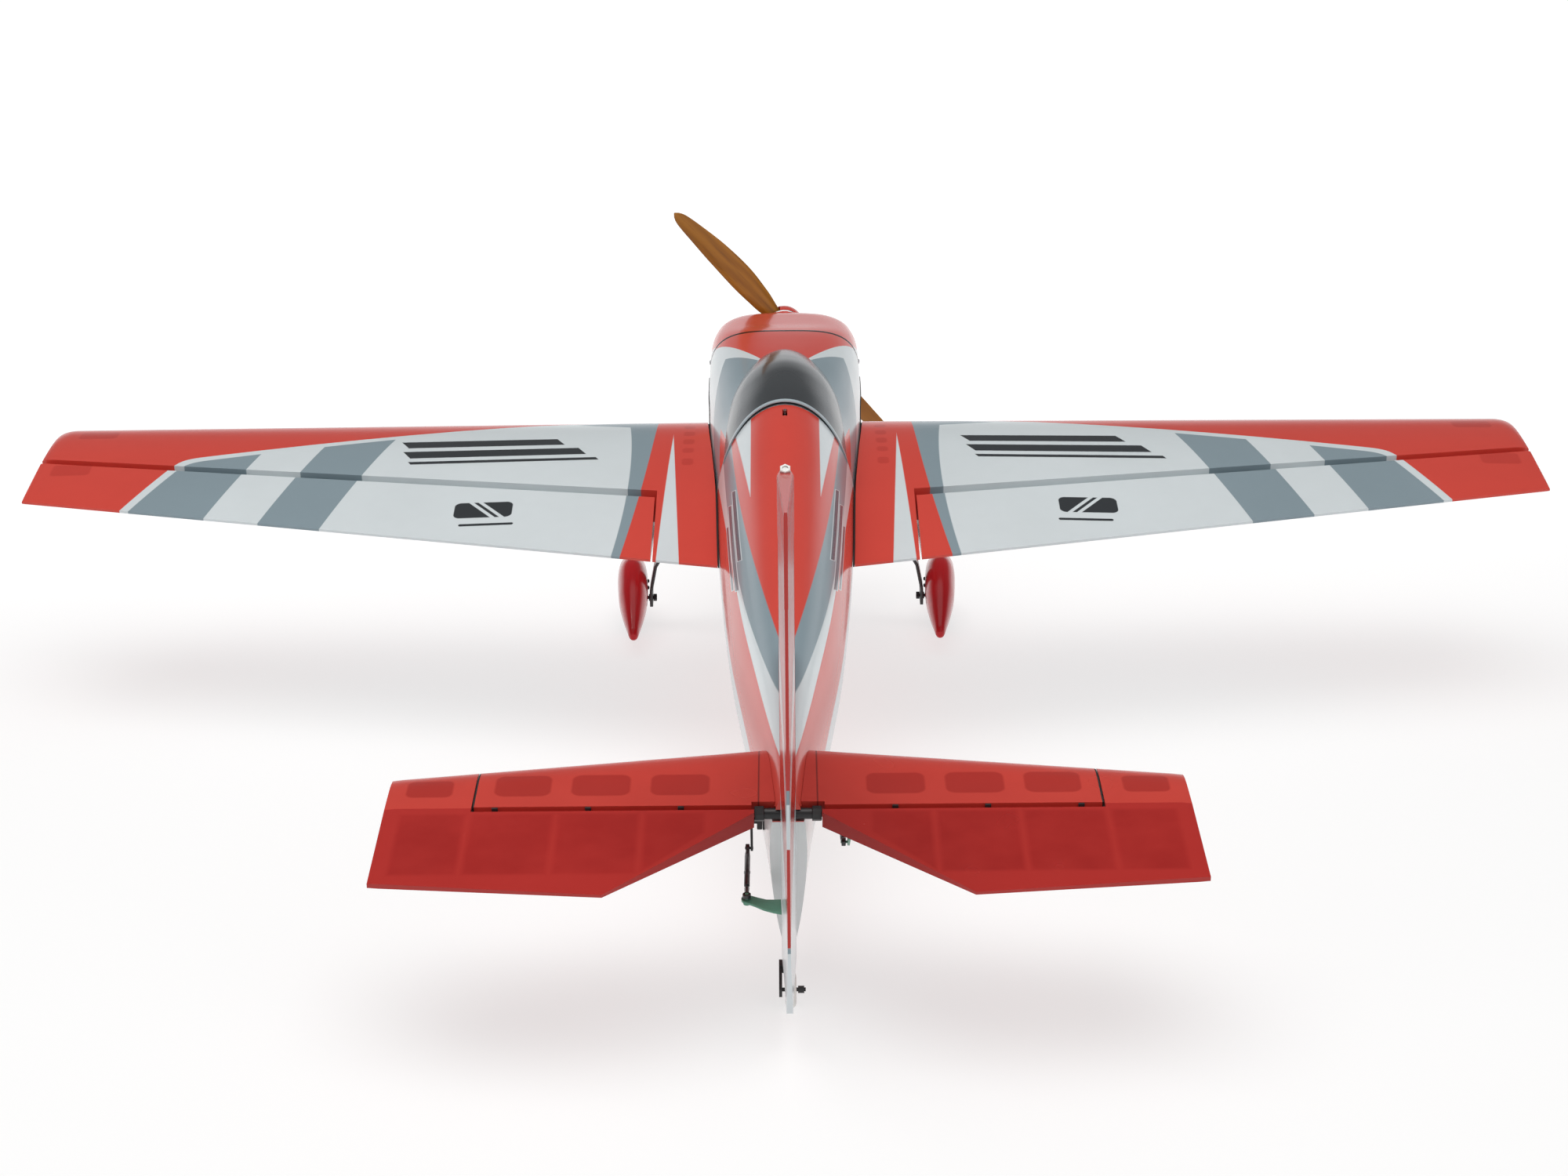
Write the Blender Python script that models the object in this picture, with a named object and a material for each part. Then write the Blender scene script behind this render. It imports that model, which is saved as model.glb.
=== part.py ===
"""Aerobatic radio-controlled tail-dragger aeroplane, built as separate named parts.

Script axes ("aircraft axes"), metres: x to port (left wing), y aft, z up, with the origin on the
centre line at the wing plane. Every point is turned nose-up by the parked attitude and shifted so
that the model stands on its three wheels with z = 0 on the ground.
"""
import math

import bmesh
import bpy
from mathutils import Matrix, Vector

# ---------------------------------------------------------------- driving dimensions
GAP = 0.0003                      # clearance between neighbouring parts

HALF_SPAN = 0.800                 # wing
WING_LE_Y = 0.023                 # straight leading edge
ROOT_TE_Y, TIP_TE_Y = 0.4013, 0.2126
WING_THICKNESS = 0.135            # largest thickness / chord
TE_HALF = 0.0012                  # half thickness of the blunt trailing edge
WING_TUBE_Y, WING_TUBE_R, WING_TUBE_END = 0.125, 0.0080, 0.300
WING_ROOT_GAP = 0.0022            # lets the hatch lift past the wing roots
AIL_IN_X = 0.1350                 # inboard end of the ailerons
AIL_HINGE_IN_Y, AIL_HINGE_TIP_Y = 0.2370, 0.1235
HINGE_GAP = 0.0015
BEVEL = math.tan(math.radians(36.0))

STAB_Z = 0.0445                   # tail surfaces
STAB_ROOT_X, STAB_END_X = 0.0085, 0.2490
STAB_LE_ROOT_Y, STAB_LE_SLOPE = 0.8400, 0.150
ELEV_HINGE_Y = 0.9420
ELEV_ROOT_X, ELEV_TIP_X = 0.0270, 0.3200
ELEV_TE_X, ELEV_TE_Y, ELEV_TIP_TE_Y = 0.1409, 1.0626, 1.0449
TAIL_HALF_HINGE, TAIL_HALF_TE = 0.0072, 0.0012

RUD_HINGE_Y, RUD_TE_Y = 0.9475, 1.0800
RUD_BOTTOM_Z, RUD_TOP_Z, RUD_TOP_SLOPE = -0.0830, 0.3667, 0.21
RUD_HORN_Z = 0.2920               # underside of the rudder balance horn
FIN_TOP_Z, FIN_TOP_LE_Y, FIN_LE_SLOPE = 0.2900, 0.8850, 0.82
FIN_HALF = 0.0062

HULL_WALL = 0.0030                # fuselage
HULL_FRONT_Y, HULL_END_Y = -0.1000, 0.9450
HATCH_REAR_Y, HATCH_SILL_Z = 0.2400, 0.0120

THRUST_Z = 0.0160                 # power unit
COWL_FRONT_Y, COWL_RING_R = -0.2470, 0.0248
PROP_Y, PROP_R, PROP_ANGLE = -0.2620, 0.1925, math.radians(42.0)
SPINNER_R = 0.0240

AXLE_Y, AXLE_Z, TYRE_R, TYRE_W = -0.0300, -0.2331, 0.0345, 0.0200
TRACK_X, LEG_X, LEG_T = 0.1786, 0.1572, 0.0036
TAIL_AXLE_Y, TAIL_AXLE_Z, TAIL_TYRE_R, TAIL_TYRE_W = 0.9700, -0.1032, 0.0145, 0.0090
TAIL_PIVOT_Y = 0.9480
PANT_TOE = 0.050                  # the fairings' tails lean inward by this slope

ARM_LENGTH = 0.0265               # servo arms and control horns share one length
RUD_SERVO_Y, RUD_SERVO_Z, RUD_LINK_X = 0.8865, 0.0060, 0.0336
ELEV_SERVO_Y, ELEV_SERVO_Z, ELEV_LINK_X = 0.8620, 0.0120, 0.0440
AIL_SERVO_X, AIL_SERVO_AHEAD, AIL_SERVO_Z = 0.3600, 0.0600, -0.0125

# Attitude: the ground line touches the main and tail wheels.
WHEEL_BASE = math.hypot(TAIL_AXLE_Y - AXLE_Y, TAIL_AXLE_Z - AXLE_Z)
ATTITUDE = (math.atan2(TAIL_AXLE_Z - AXLE_Z, TAIL_AXLE_Y - AXLE_Y)
            + math.asin((TYRE_R - TAIL_TYRE_R) / WHEEL_BASE))
TURN = Matrix.Rotation(-ATTITUDE, 4, 'X')
GROUND_Z = -(TURN @ Vector((0.0, AXLE_Y, AXLE_Z))).z + TYRE_R
SHIFT_Y = -0.4124                 # centres the bounding box on the origin
PLACE = Matrix.Translation((0.0, SHIFT_Y, GROUND_Z)) @ TURN

# Fuselage stations: y, half width, top, bottom, height of the widest line, top and bottom fullness.
HULL = (
    (-0.100, 0.0860, 0.0695, -0.092, 0.000, 3.6, 3.2),
    (-0.050, 0.0857, 0.0750, -0.101, 0.000, 3.2, 3.2),
    (0.000, 0.0840, 0.0795, -0.107, 0.000, 2.9, 3.2),
    (0.080, 0.0818, 0.0850, -0.110, 0.000, 2.6, 3.0),
    (0.160, 0.0770, 0.0960, -0.110, 0.000, 2.2, 2.8),
    (0.240, 0.0720, 0.1140, -0.108, -0.004, 1.95, 2.6),
    (0.390, 0.0655, 0.1045, -0.105, -0.004, 1.95, 2.3),
    (0.590, 0.0525, 0.0900, -0.100, -0.002, 1.95, 2.0),
    (0.750, 0.0350, 0.0780, -0.095, 0.000, 1.95, 1.8),
    (0.860, 0.0225, 0.0700, -0.091, 0.005, 1.95, 1.6),
    (0.945, 0.0150, 0.0640, -0.087, 0.010, 1.95, 1.5),
)
COWL = (
    (-0.1003, 0.0860, 0.0695, -0.092, 0.000, 3.6, 3.2),
    (-0.1500, 0.0855, 0.0600, -0.090, 0.000, 4.2, 3.0),
    (-0.1950, 0.0810, 0.0520, -0.082, 0.002, 4.2, 2.7),
    (-0.2220, 0.0720, 0.0470, -0.066, 0.006, 3.8, 2.4),
    (-0.2380, 0.0530, 0.0420, -0.040, 0.012, 2.8, 2.2),
)

# ---------------------------------------------------------------- mesh helpers
COLOURS = {
    "film_red": (0.52, 0.03, 0.03, 0.25, 0.0),
    "film_white": (0.78, 0.80, 0.82, 0.25, 0.0),
    "canopy": (0.08, 0.09, 0.10, 0.10, 0.0),
    "carbon": (0.03, 0.03, 0.03, 0.35, 0.0),
    "black_plastic": (0.02, 0.02, 0.02, 0.45, 0.0),
    "white_plastic": (0.80, 0.80, 0.78, 0.40, 0.0),
    "glass_epoxy": (0.10, 0.30, 0.20, 0.45, 0.0),
    "plywood": (0.55, 0.38, 0.20, 0.60, 0.0),
    "prop_wood": (0.30, 0.12, 0.02, 0.35, 0.0),
    "rubber": (0.02, 0.02, 0.02, 0.80, 0.0),
    "steel": (0.55, 0.55, 0.57, 0.30, 1.0),
    "aluminium": (0.75, 0.76, 0.78, 0.30, 1.0),
    "blue_plastic": (0.05, 0.12, 0.35, 0.45, 0.0),
}


def material(name):
    """A Principled material of the named look, one per object."""
    red, green, blue, roughness, metallic = COLOURS[name]
    mat = bpy.data.materials.new(name)
    mat.use_nodes = True
    shader = mat.node_tree.nodes["Principled BSDF"]
    shader.inputs["Base Color"].default_value = (red, green, blue, 1.0)
    shader.inputs["Roughness"].default_value = roughness
    shader.inputs["Metallic"].default_value = metallic
    return mat


def build(name, points, faces, look=None, pivot=(0.0, 0.0, 0.0)):
    """Object with its origin on `pivot`; points are aircraft-axis coordinates."""
    pivot = Vector(pivot)
    mesh = bpy.data.meshes.new(name)
    mesh.from_pydata([Vector(p) - pivot for p in points], [], faces)
    tidy(mesh)
    obj = bpy.data.objects.new(name, mesh)
    bpy.context.scene.collection.objects.link(obj)
    obj.matrix_world = PLACE @ Matrix.Translation(pivot)
    if look:
        mesh.materials.append(material(look))
    return obj


def tidy(mesh):
    """Merge doubles, triangulate and turn every face outward."""
    work = bmesh.new()
    work.from_mesh(mesh)
    bmesh.ops.remove_doubles(work, verts=work.verts, dist=1e-6)
    bmesh.ops.dissolve_degenerate(work, dist=1e-6, edges=work.edges)
    bmesh.ops.triangulate(work, faces=work.faces)
    bmesh.ops.recalc_face_normals(work, faces=work.faces)
    work.to_mesh(mesh)
    work.free()


def combine(target, tool, operation='DIFFERENCE'):
    """Exact Boolean of two objects; the tool is used up."""
    mod = target.modifiers.new(operation.title(), 'BOOLEAN')
    mod.operation = operation
    mod.solver = 'EXACT'
    mod.object = tool
    bpy.context.view_layer.update()
    graph = bpy.context.evaluated_depsgraph_get()
    mesh = bpy.data.meshes.new_from_object(target.evaluated_get(graph))
    target.modifiers.clear()
    keep = [m for m in target.data.materials]
    target.data = mesh
    mesh.name = target.name
    mesh.materials.clear()
    for mat in keep:
        mesh.materials.append(mat)
    mesh.polygons.foreach_set("material_index", [0] * len(mesh.polygons))
    tidy(mesh)
    bpy.data.objects.remove(tool)
    return target


def smooth(obj, angle=32.0):
    obj.data.shade_smooth()
    obj.data.set_sharp_from_angle(angle=math.radians(angle))
    return obj


def loft(name, rings, look=None, pivot=(0.0, 0.0, 0.0), closed=False):
    """Skin equal-length rings of points; capped at both ends unless the rings close on themselves."""
    count = len(rings[0])
    points = [p for ring in rings for p in ring]
    faces = []
    spans = len(rings) if closed else len(rings) - 1
    for i in range(spans):
        a, b = i * count, ((i + 1) % len(rings)) * count
        for k in range(count):
            n = (k + 1) % count
            faces.append((a + k, a + n, b + n, b + k))
    if not closed:
        faces.append(tuple(range(count)))
        faces.append(tuple(len(points) - count + k for k in range(count)))
    return build(name, points, faces, look, pivot)


def box(name, low, high, look=None, pivot=(0.0, 0.0, 0.0)):
    rings = []
    for y in (low[1], high[1]):
        rings.append([(low[0], y, low[2]), (high[0], y, low[2]),
                      (high[0], y, high[2]), (low[0], y, high[2])])
    return loft(name, rings, look, pivot)


def frame(direction):
    """Two unit vectors square to `direction`."""
    direction = Vector(direction).normalized()
    helper = Vector((0, 0, 1)) if abs(direction.z) < 0.9 else Vector((0, 1, 0))
    side = direction.cross(helper).normalized()
    return side, direction.cross(side).normalized()


def turned(name, base, direction, profile, look=None, pivot=(0.0, 0.0, 0.0), sides=20, phase=0.0,
           closed=False):
    """Solid of revolution about a line: profile is a list of (distance along, radius)."""
    base, direction = Vector(base), Vector(direction).normalized()
    side, up = frame(direction)
    rings = []
    for along, radius in profile:
        ring = []
        for k in range(sides):
            angle = phase + 2.0 * math.pi * k / sides
            ring.append(base + direction * along
                        + radius * (side * math.cos(angle) + up * math.sin(angle)))
        rings.append(ring)
    return loft(name, rings, look, pivot, closed)


def rod(name, start, end, radius, look=None, pivot=(0.0, 0.0, 0.0), sides=16, phase=0.0):
    start, end = Vector(start), Vector(end)
    return turned(name, start, end - start, [(0.0, radius), ((end - start).length, radius)],
                  look, pivot, sides, phase)


def prism(name, outline, low, high, axis, look=None, pivot=(0.0, 0.0, 0.0)):
    """Extrude an outline along one axis; the outline lists the two other coordinates in x,y,z order."""
    rings = []
    for level in (low, high):
        ring = []
        for a, b in outline:
            point = [a, b]
            point.insert("xyz".index(axis), level)
            ring.append(tuple(point))
        rings.append(ring)
    return loft(name, rings, look, pivot)


def section(y, half, top, bottom, mid, full_top, full_bottom, grow=0.0, count=24):
    """Fuselage cross-section: two half super-ellipses that share the widest line."""
    ring = []
    for k in range(count):
        angle = 2.0 * math.pi * k / count
        c, s = math.cos(angle), math.sin(angle)
        power = 2.0 / (full_top if s >= 0.0 else full_bottom)
        height = (top - mid if s >= 0.0 else mid - bottom) + grow
        x = (half + grow) * math.copysign(abs(c) ** power, c)
        z = mid + height * math.copysign(abs(s) ** power, s)
        ring.append((x, y, z))
    return ring


def station(table, y):
    """Interpolated row of a station table."""
    for row, nxt in zip(table, table[1:]):
        low, high = sorted((row[0], nxt[0]))
        if low <= y <= high:
            t = (y - row[0]) / (nxt[0] - row[0])
            return tuple(a + (b - a) * t for a, b in zip(row, nxt))
    return table[0] if abs(y - table[0][0]) < abs(y - table[-1][0]) else table[-1]


def hull_solid(name, grow, front=None, end=None, look=None):
    """The fuselage outside grown by `grow`, optionally cut short or run past its ends."""
    front = HULL_FRONT_Y if front is None else front
    end = HULL_END_Y if end is None else end
    levels = [front] + [row[0] for row in HULL if front < row[0] < end] + [end]
    rings = []
    for y in levels:
        row = station(HULL, y)
        rings.append(section(y, *row[1:], grow=grow))
    return loft(name, rings, look)


def wing_half_thickness(share, chord):
    """Half thickness of the symmetric section at a share of the chord, blunt at the back."""
    t = max(0.0, min(1.0, share))
    curve = (0.2969 * math.sqrt(t) - 0.1260 * t - 0.3516 * t ** 2 + 0.2843 * t ** 3 - 0.1036 * t ** 4)
    return 5.0 * WING_THICKNESS * chord * curve + TE_HALF * t


def wing_te(x):
    return ROOT_TE_Y + (TIP_TE_Y - ROOT_TE_Y) * x / HALF_SPAN


def aileron_hinge(x):
    return AIL_HINGE_IN_Y + (AIL_HINGE_TIP_Y - AIL_HINGE_IN_Y) * (x - AIL_IN_X) / (HALF_SPAN - AIL_IN_X)


def wing_z(x, y):
    chord = wing_te(x) - WING_LE_Y
    return wing_half_thickness((y - WING_LE_Y) / chord, chord)


# ---------------------------------------------------------------- fuselage
def fuselage_parts():
    hull = hull_solid("fuselage", 0.0, look="film_red")
    cavity = hull_solid("cavity", -HULL_WALL, HULL_FRONT_Y - 0.01, 0.905)
    combine(cavity, box("former", (-0.2, HATCH_REAR_Y, HATCH_SILL_Z), (0.2, HATCH_REAR_Y + 0.003, 0.3)))
    combine(hull, cavity)
    combine(hull, box("opening", (-0.2, -0.2, HATCH_SILL_Z), (0.2, HATCH_REAR_Y, 0.3)))
    combine(hull, rod("tube_hole", (-0.2, WING_TUBE_Y, 0), (0.2, WING_TUBE_Y, 0), WING_TUBE_R + GAP))
    combine(hull, rod("stab_hole", (-0.1, 0.885, STAB_Z), (0.1, 0.885, STAB_Z), 0.0043, sides=12))
    combine(hull, rod("joiner_hole", (-0.1, ELEV_HINGE_Y, STAB_Z), (0.1, ELEV_HINGE_Y, STAB_Z),
                      0.0060, sides=16))
    combine(hull, box("gear_seat", (-0.06, -0.0528, -0.2), (0.06, -0.0072, -0.1025)))
    combine(hull, box("servo_port", (0.0, 0.8632, RUD_SERVO_Z - 0.0068),
                      (0.1, 0.8928, RUD_SERVO_Z + 0.0068)))
    combine(hull, box("servo_starboard", (-0.1, 0.8387, ELEV_SERVO_Z - 0.0068),
                      (0.0, 0.8683, ELEV_SERVO_Z + 0.0068)))
    combine(hull, box("outlet", (-0.022, 0.600, -0.2), (0.022, 0.680, -0.06)))
    combine(hull, rod("latch_hole", (0, 0.2, 0.1010), (0, 0.262, 0.1010), 0.0024, sides=12))
    smooth(hull)

    hatch = hull_solid("hatch", 0.0, HULL_FRONT_Y, HATCH_REAR_Y - GAP, look="film_white")
    combine(hatch, hull_solid("hatch_inner", -0.0025, HULL_FRONT_Y - 0.01, HATCH_REAR_Y - 0.004))
    combine(hatch, box("hatch_below", (-0.2, -0.2, -0.2), (0.2, 0.3, HATCH_SILL_Z + GAP)))
    cockpit = [(-0.052, 0.215), (-0.048, 0.120), (-0.034, 0.050), (-0.016, 0.020),
               (0.016, 0.020), (0.034, 0.050), (0.048, 0.120), (0.052, 0.215)]
    combine(hatch, prism("cockpit", cockpit, 0.03, 0.3, 'z'))
    combine(hatch, rod("striker", (0, 0.2, 0.1010), (0, 0.262, 0.1010), 0.0024, sides=12))
    smooth(hatch)

    canopy = canopy_dome("canopy", 0.0, "canopy")
    combine(canopy, canopy_dome("canopy_inner", -0.0016))
    combine(canopy, hull_solid("deck", GAP, HULL_FRONT_Y, HATCH_REAR_Y + 0.004))
    combine(canopy, box("canopy_base", (-0.2, -0.2, -0.2), (0.2, 0.4, 0.020)))
    smooth(canopy, 60)

    latch = turned("hatch_latch", (0, HATCH_REAR_Y + GAP, 0.1010), (0, 1, 0),
                   [(0.0, 0.0018), (0.0200, 0.0018)], "steel", (0, 0.2480, 0.1010), sides=12)
    knob = rod("knob", (0, 0.2560, 0.1000), (0, 0.2560, 0.1150), 0.0016, sides=10)
    combine(hull, box("latch_slot", (-0.0024, 0.2520, 0.1000), (0.0024, 0.2680, 0.1300)))
    combine(latch, knob, 'UNION')
    smooth(hull)
    smooth(latch)


def canopy_dome(name, grow, look=None):
    """Bubble that meets the turtle deck at the back; rows: y, half width, foot, top."""
    rows = ((-0.014, 0.012, 0.062, 0.0795), (0.010, 0.0325, 0.058, 0.0880),
            (0.040, 0.0455, 0.052, 0.0965), (0.080, 0.0560, 0.044, 0.1065),
            (0.122, 0.0635, 0.034, 0.1150), (0.155, 0.0662, 0.026, 0.1185),
            (0.200, 0.0688, 0.014, 0.1200), (HATCH_REAR_Y - GAP, 0.0695, 0.006, 0.1180))
    rings = []
    for y, half, foot, top in rows:
        if grow and y > 0.23:
            y += 0.01
        if grow and y < 0.0:
            y -= grow * 6
        ring = []
        for k in range(21):
            angle = math.pi * k / 20
            ring.append(((half + grow) * math.cos(angle), y,
                         foot + (top + grow - foot) * math.sin(angle)))
        ring.append((-(half + grow) * 0.9, y, -0.02))
        ring.append(((half + grow) * 0.9, y, -0.02))
        rings.append(ring)
    return loft(name, rings, look)


def cowl_parts():
    rings = [section(*row) for row in COWL]
    nose = []
    for y, radius in ((-0.2430, 0.0264), (COWL_FRONT_Y, COWL_RING_R)):
        nose.append([(radius * math.cos(2 * math.pi * k / 24), y,
                      THRUST_Z + radius * math.sin(2 * math.pi * k / 24)) for k in range(24)])
    cowl = loft("cowl", rings + nose, "film_red")
    inner = [section(y + (0.004 if y == COWL[0][0] else 0.0), *rest, grow=-0.0022)
             for y, *rest in COWL[:-1]]
    inner.append(section(-0.2350, *COWL[-1][1:], grow=-0.0040))
    combine(cowl, loft("cowl_inner", inner))
    combine(cowl, rod("nose_hole", (0, -0.30, THRUST_Z), (0, -0.20, THRUST_Z), 0.0225, sides=24))
    for side in (1, -1):
        inlet = [(side * x, z) for x, z in ((0.036, 0.030), (0.052, 0.032), (0.064, 0.022),
                                            (0.064, -0.004), (0.054, -0.016), (0.036, -0.012))]
        combine(cowl, prism("inlet", inlet, -0.30, -0.205, 'y'))
    combine(cowl, box("cowl_outlet", (-0.035, -0.150, -0.12), (0.035, -0.0950, -0.060)))
    smooth(cowl)

    row = station(HULL, -0.096)
    wall = [section(y, *row[1:], grow=-HULL_WALL - 0.0008) for y in (-0.0996, -0.0956)]
    firewall = loft("firewall", wall, "plywood")
    combine(firewall, box("firewall_top", (-0.2, -0.2, 0.0600), (0.2, 0.2, 0.2)))
    combine(firewall, rod("cable_hole", (0, -0.2, -0.045), (0, 0.0, -0.045), 0.012, sides=16))

    mount = box("motor_mount", (-0.024, -0.1640, THRUST_Z - 0.024), (0.024, -0.1600, THRUST_Z + 0.024),
                "aluminium")
    combine(mount, rod("mount_bore", (0, -0.2, THRUST_Z), (0, -0.1, THRUST_Z), 0.009, sides=12))
    for sx in (1, -1):
        for sz in (1, -1):
            x, z = sx * 0.019, THRUST_Z + sz * 0.019
            combine(mount, rod("pillar", (x, -0.1620, z), (x, -0.1003, z), 0.0040, sides=8), 'UNION')
    smooth(mount)
    smooth(turned("motor_stator", (0, -0.1643, THRUST_Z), (0, -1, 0),
                  [(0.0, 0.0200), (0.0080, 0.0200), (0.0080, 0.0120), (0.0110, 0.0120)],
                  "aluminium", sides=24))
    smooth(turned("motor_rotor", (0, -0.1756, THRUST_Z), (0, -1, 0),
                  [(0.0, 0.0230), (0.0380, 0.0230), (0.0430, 0.0120), (0.0430, 0.0040),
                   (0.1150, 0.0040)], "black_plastic", (0, PROP_Y, THRUST_Z), sides=24))


def propeller_parts():
    hub = (0.0, PROP_Y, THRUST_Z)
    prop = turned("propeller", (0, PROP_Y + 0.0065, THRUST_Z), (0, -1, 0),
                  [(0.0, 0.0125), (0.0130, 0.0125)], "prop_wood", hub, sides=24)
    rows = ((0.000, 0.0140, 0.0105, 15), (0.020, 0.0185, 0.0105, 30), (0.045, 0.0270, 0.0085, 32),
            (0.080, 0.0310, 0.0062, 24), (0.120, 0.0280, 0.0046, 18), (0.155, 0.0215, 0.0034, 14),
            (0.180, 0.0150, 0.0026, 12), (PROP_R, 0.0060, 0.0018, 11))
    for half_turn in (0.0, math.pi):
        out = Vector((math.sin(PROP_ANGLE + half_turn), 0, math.cos(PROP_ANGLE + half_turn)))
        lead = Vector((-out.z, 0, out.x))
        rings = []
        for radius, chord, thick, pitch in rows:
            a = math.radians(pitch)
            along = lead * math.cos(a) + Vector((0, -1, 0)) * math.sin(a)
            across = Vector((0, -1, 0)) * math.cos(a) - lead * math.sin(a)
            sweep = lead * (0.004 * math.sin(math.pi * radius / PROP_R))
            ring = []
            for k in range(10):
                t = 2 * math.pi * k / 10
                ring.append(Vector(hub) + out * radius + sweep + along * (chord / 2 * math.cos(t))
                            + across * (thick / 2 * math.sin(t)))
            rings.append(ring)
        combine(prop, loft("blade", rings), 'UNION')
    combine(prop, rod("bore", (0, -0.30, THRUST_Z), (0, -0.20, THRUST_Z), 0.0043, sides=12))
    smooth(prop, 50)

    plate = turned("spinner_backplate", (0, -0.2517, THRUST_Z), (0, -1, 0),
                   [(0.0, SPINNER_R), (0.0032, SPINNER_R)], "aluminium", hub, sides=20)
    combine(plate, rod("plate_bore", (0, -0.30, THRUST_Z), (0, -0.20, THRUST_Z), 0.0043, sides=12))
    smooth(plate)
    spinner = turned("spinner", (0, -0.2552, THRUST_Z), (0, -1, 0),
                     [(0.0, 0.0240), (0.0120, 0.0236), (0.0250, 0.0200), (0.0370, 0.0140),
                      (0.0450, 0.0070), (0.0480, 0.0016)], "film_red", hub, sides=20)
    combine(spinner, turned("spinner_inner", (0, -0.2542, THRUST_Z), (0, -1, 0),
                            [(0.0, 0.0222), (0.0130, 0.0218), (0.0250, 0.0184), (0.0370, 0.0110),
                             (0.0420, 0.0050)], sides=20))
    out = Vector((math.sin(PROP_ANGLE), 0, math.cos(PROP_ANGLE)))
    lead = Vector((-out.z, 0, out.x))
    rings = []
    for reach in (-0.03, 0.03):
        ring = []
        for a, y in ((-0.0120, -0.2500), (0.0120, -0.2500), (0.0120, -0.2720), (-0.0120, -0.2720)):
            ring.append(Vector((0, y, THRUST_Z)) + out * reach + lead * a)
        rings.append(ring)
    combine(spinner, loft("blade_slot", rings))
    smooth(spinner, 40)
    nut = turned("prop_nut", (0, -0.2689, THRUST_Z), (0, -1, 0),
                 [(0.0, 0.0062), (0.0060, 0.0062)], "steel", hub, sides=6)
    combine(nut, rod("nut_bore", (0, -0.30, THRUST_Z), (0, -0.20, THRUST_Z), 0.0043, sides=12))


# ---------------------------------------------------------------- wing
def wing_ring(side, x, le, shrink=1.0):
    chord = wing_te(x) - WING_LE_Y
    shares = (1.0, 0.85, 0.68, 0.50, 0.34, 0.20, 0.11, 0.05, 0.018, 0.004)
    upper, lower = [], []
    for share in shares:
        y = le + (WING_LE_Y + chord - le) * share
        half = wing_half_thickness(share, chord) * shrink
        upper.append((side * x, y, half))
        lower.append((side * x, y, -half))
    return upper + [(side * x, le, 0.0)] + lower[::-1]


def aileron_ring(side, x):
    hinge, te = aileron_hinge(x), wing_te(x)
    front = hinge + BEVEL * wing_z(x, hinge)
    upper = [(side * x, y, wing_z(x, y)) for y in (te, te + (front - te) * 0.35,
                                                 te + (front - te) * 0.70, front)]
    return upper + [(side * x, hinge, 0.0)] + [(a, b, -c) for a, b, c in upper[::-1]]


def hinge_axes():
    """Unit vectors of the port aileron hinge: outward along it, and square to it pointing aft."""
    along = Vector((HALF_SPAN - AIL_IN_X, AIL_HINGE_TIP_Y - AIL_HINGE_IN_Y, 0.0)).normalized()
    return along, Vector((-along.y, along.x, 0.0))


def wing_parts():
    for side, word in ((1, "left"), (-1, "right")):
        rings = [wing_ring(side, 0.045, WING_LE_Y), wing_ring(side, 0.400, WING_LE_Y),
                 wing_ring(side, 0.782, WING_LE_Y), wing_ring(side, 0.794, WING_LE_Y + 0.004, 0.93),
                 wing_ring(side, HALF_SPAN, WING_LE_Y + 0.014, 0.72)]
        wing = loft("wing_" + word, rings, "film_red")
        combine(wing, hull_solid("side", WING_ROOT_GAP, -0.05, 0.45))
        along, aft = hinge_axes()
        inner = AIL_IN_X - 0.0020
        bay = [(side * inner, 0.60), (side * inner, aileron_hinge(inner) - HINGE_GAP),
               (side * 0.85, aileron_hinge(0.85) - HINGE_GAP), (side * 0.85, 0.60)]
        combine(wing, prism("aileron_bay", bay, -0.1, 0.1, 'z'))
        combine(wing, rod("tube_bore", (side * 0.02, WING_TUBE_Y, 0),
                          (side * (WING_TUBE_END + 0.002), WING_TUBE_Y, 0), WING_TUBE_R + GAP))
        servo_pocket(wing, side)
        smooth(wing)

        hinge = (side * AIL_IN_X, AIL_HINGE_IN_Y, 0.0)
        rings = [aileron_ring(side, x) for x in (AIL_IN_X, 0.400, HALF_SPAN)]
        smooth(loft("aileron_" + word, rings, "film_red", hinge), 20)
        aileron_linkage(side, word)
    smooth(rod("wing_tube", (-WING_TUBE_END, WING_TUBE_Y, 0), (WING_TUBE_END, WING_TUBE_Y, 0),
               WING_TUBE_R, "carbon"))


def linkage_point(side, ahead, out, z):
    """Point given by distance ahead of the aileron hinge, offset along it, and height."""
    along, aft = hinge_axes()
    base = Vector((AIL_SERVO_X, aileron_hinge(AIL_SERVO_X), 0.0)) + along * out - aft * ahead
    return Vector((side * base.x, base.y, z))


def slanted_box(name, side, ahead, out, z, look=None, pivot=(0, 0, 0)):
    """Box aligned with the aileron hinge; each span is (low, high)."""
    rings = []
    for o in out:
        rings.append([linkage_point(side, ahead[0], o, z[0]), linkage_point(side, ahead[1], o, z[0]),
                      linkage_point(side, ahead[1], o, z[1]), linkage_point(side, ahead[0], o, z[1])])
    return loft(name, rings, look, pivot)


def servo_pocket(wing, side):
    z = AIL_SERVO_Z
    combine(wing, slanted_box("pocket", side, (AIL_SERVO_AHEAD - 0.0085, AIL_SERVO_AHEAD + 0.0235),
                              (-0.0250, 0.0085), (z - 0.05, z + 0.0075)))
    combine(wing, slanted_box("arm_slot", side, (AIL_SERVO_AHEAD - 0.0260, AIL_SERVO_AHEAD + 0.0260),
                              (-0.0003, 0.0086), (z - 0.05, z + 0.0076)))


def ring_end(name, centre, axis, width, look=None, pivot=(0, 0, 0)):
    """Ball-link ring: a short tube round `centre`."""
    tube = turned(name, Vector(centre) - Vector(axis).normalized() * width / 2, axis,
                  [(0.0, 0.0034), (width, 0.0034)], look, pivot, sides=10)
    return tube


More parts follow.
